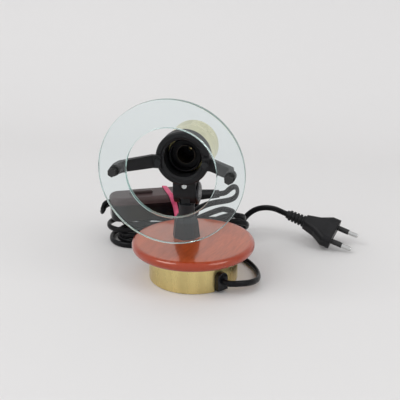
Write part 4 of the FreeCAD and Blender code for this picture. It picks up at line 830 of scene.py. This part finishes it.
def add_camera(scene):
    camera = bpy.data.cameras.new("camera")
    camera.sensor_width = SENSOR_WIDTH
    camera.lens = FOCAL_PIXELS / PICTURE_PIXELS * SENSOR_WIDTH
    camera.clip_start = 0.01
    camera.clip_end = 50.0
    eye = bpy.data.objects.new("camera", camera)
    right, forward = Vector(CAMERA_RIGHT), Vector(CAMERA_FORWARD)
    turn = Matrix((right, right.cross(forward), -forward)).transposed()
    eye.matrix_world = Matrix.Translation(CAMERA_PLACE) @ turn.to_4x4()
    scene.collection.objects.link(eye)
    scene.camera = eye


class LampSizes(bpy.types.PropertyGroup):
    """Sizes that a user would change."""
    cord_height: bpy.props.FloatProperty(
        name="Cord height", description="Long side of the cord's oval section",
        default=5.2 * MM, min=0.002, max=0.01, subtype="DISTANCE", unit="LENGTH", precision=4)
    cord_width: bpy.props.FloatProperty(
        name="Cord width", description="Short side of the cord's oval section",
        default=3.5 * MM, min=0.002, max=0.01, subtype="DISTANCE", unit="LENGTH", precision=4)


class LampFinish(bpy.types.PropertyGroup):
    """Colours that a user would change."""
    wood_colour: bpy.props.FloatVectorProperty(
        name="Wood", description="Colour of the varnished wood", subtype="COLOR", size=3,
        default=(0.43, 0.07, 0.012), min=0.0, max=1.0)
    brass_colour: bpy.props.FloatVectorProperty(
        name="Brass", description="Colour of the satin brass", subtype="COLOR", size=3,
        default=(0.77, 0.63, 0.28), min=0.0, max=1.0)
    cylinder_colour: bpy.props.FloatVectorProperty(
        name="Cylinder", description="Colour of the cylinder's metal", subtype="COLOR", size=3,
        default=(0.85, 0.8, 0.53), min=0.0, max=1.0)
    glass_colour: bpy.props.FloatVectorProperty(
        name="Glass", description="Tint of the glass ring", subtype="COLOR", size=3,
        default=(0.92, 0.985, 0.99), min=0.0, max=1.0)
    band_colour: bpy.props.FloatVectorProperty(
        name="Rubber band", description="Colour of the rubber band", subtype="COLOR", size=3,
        default=(0.6, 0.07, 0.17), min=0.0, max=1.0)


class LAMP_OT_stage(bpy.types.Operator):
    """Set up the floor, the soft light and the camera"""
    bl_idname = "lamp.stage"
    bl_label = "Stage"

    def execute(self, context):
        scene = context.scene
        scene.view_settings.view_transform = "Standard"
        lay_floor(scene)
        light_room(scene)
        for name, place, size, power in SOFT_LAMPS:
            add_soft_lamp(scene, name, place, size, power)
        add_camera(scene)
        return {"FINISHED"}


class LAMP_OT_dress(bpy.types.Operator):
    """Give every carried-over piece its finish"""
    bl_idname = "lamp.dress"
    bl_label = "Finishes of the solid pieces"

    def execute(self, context):
        for maker, names in NODE_FINISHES:
            for name in names:
                dress_node(name, finish_of(maker))
        return {"FINISHED"}


class LAMP_OT_glass(bpy.types.Operator):
    """Make the glass ring with ground edges"""
    bl_idname = "lamp.glass"
    bl_label = "Glass ring"

    def execute(self, context):
        new_piece("glass_ring_look", make_glass_ring(), "head", "glass", "glass_ring")
        return {"FINISHED"}


class LAMP_OT_cord(bpy.types.Operator):
    """Lay the cord from the base to the dimmer and on to the plug"""
    bl_idname = "lamp.cord"
    bl_label = "Cord"

    def execute(self, context):
        cord_piece("lamp_lead", lamp_lead_points(), ["lamp_cord"])
        cord_piece("plug_lead_look", plug_lead_points(),
                   ["switch_cord", "cord_hank", "plug_cord"])
        return {"FINISHED"}


class LAMP_OT_band(bpy.types.Operator):
    """Stretch the rubber band aslant round the hank and the dimmer"""
    bl_idname = "lamp.band"
    bl_label = "Rubber band"

    def execute(self, context):
        new_piece("band_look", make_band(), "base", "band_rubber", "rubber_band")
        return {"FINISHED"}


class LAMP_PT_panel(bpy.types.Panel):
    """The lamp's sizes, colours and pieces"""
    bl_idname = "LAMP_PT_panel"
    bl_label = "Glass Ring Lamp"
    bl_space_type = "VIEW_3D"
    bl_region_type = "UI"
    bl_category = "Lamp"

    def draw(self, context):
        layout = self.layout
        for group in (context.scene.lamp_sizes, context.scene.lamp_finish):
            box = layout.box()
            for name in group.__annotations__:
                box.prop(group, name)
        for operator in OPERATORS:
            layout.operator(operator.bl_idname)


OPERATORS = (LAMP_OT_stage, LAMP_OT_dress, LAMP_OT_glass, LAMP_OT_cord, LAMP_OT_band)
CLASSES = (LampSizes, LampFinish, *OPERATORS, LAMP_PT_panel)


def register():
    for item in CLASSES:
        bpy.utils.register_class(item)
    bpy.types.Scene.lamp_sizes = bpy.props.PointerProperty(type=LampSizes)
    bpy.types.Scene.lamp_finish = bpy.props.PointerProperty(type=LampFinish)


def unregister():
    del bpy.types.Scene.lamp_finish
    del bpy.types.Scene.lamp_sizes
    for item in reversed(CLASSES):
        bpy.utils.unregister_class(item)


def main():
    register()
    bpy.ops.lamp.stage()
    bpy.ops.lamp.dress()
    bpy.ops.lamp.glass()
    bpy.ops.lamp.cord()
    bpy.ops.lamp.band()


if __name__ == "__main__":
    main()
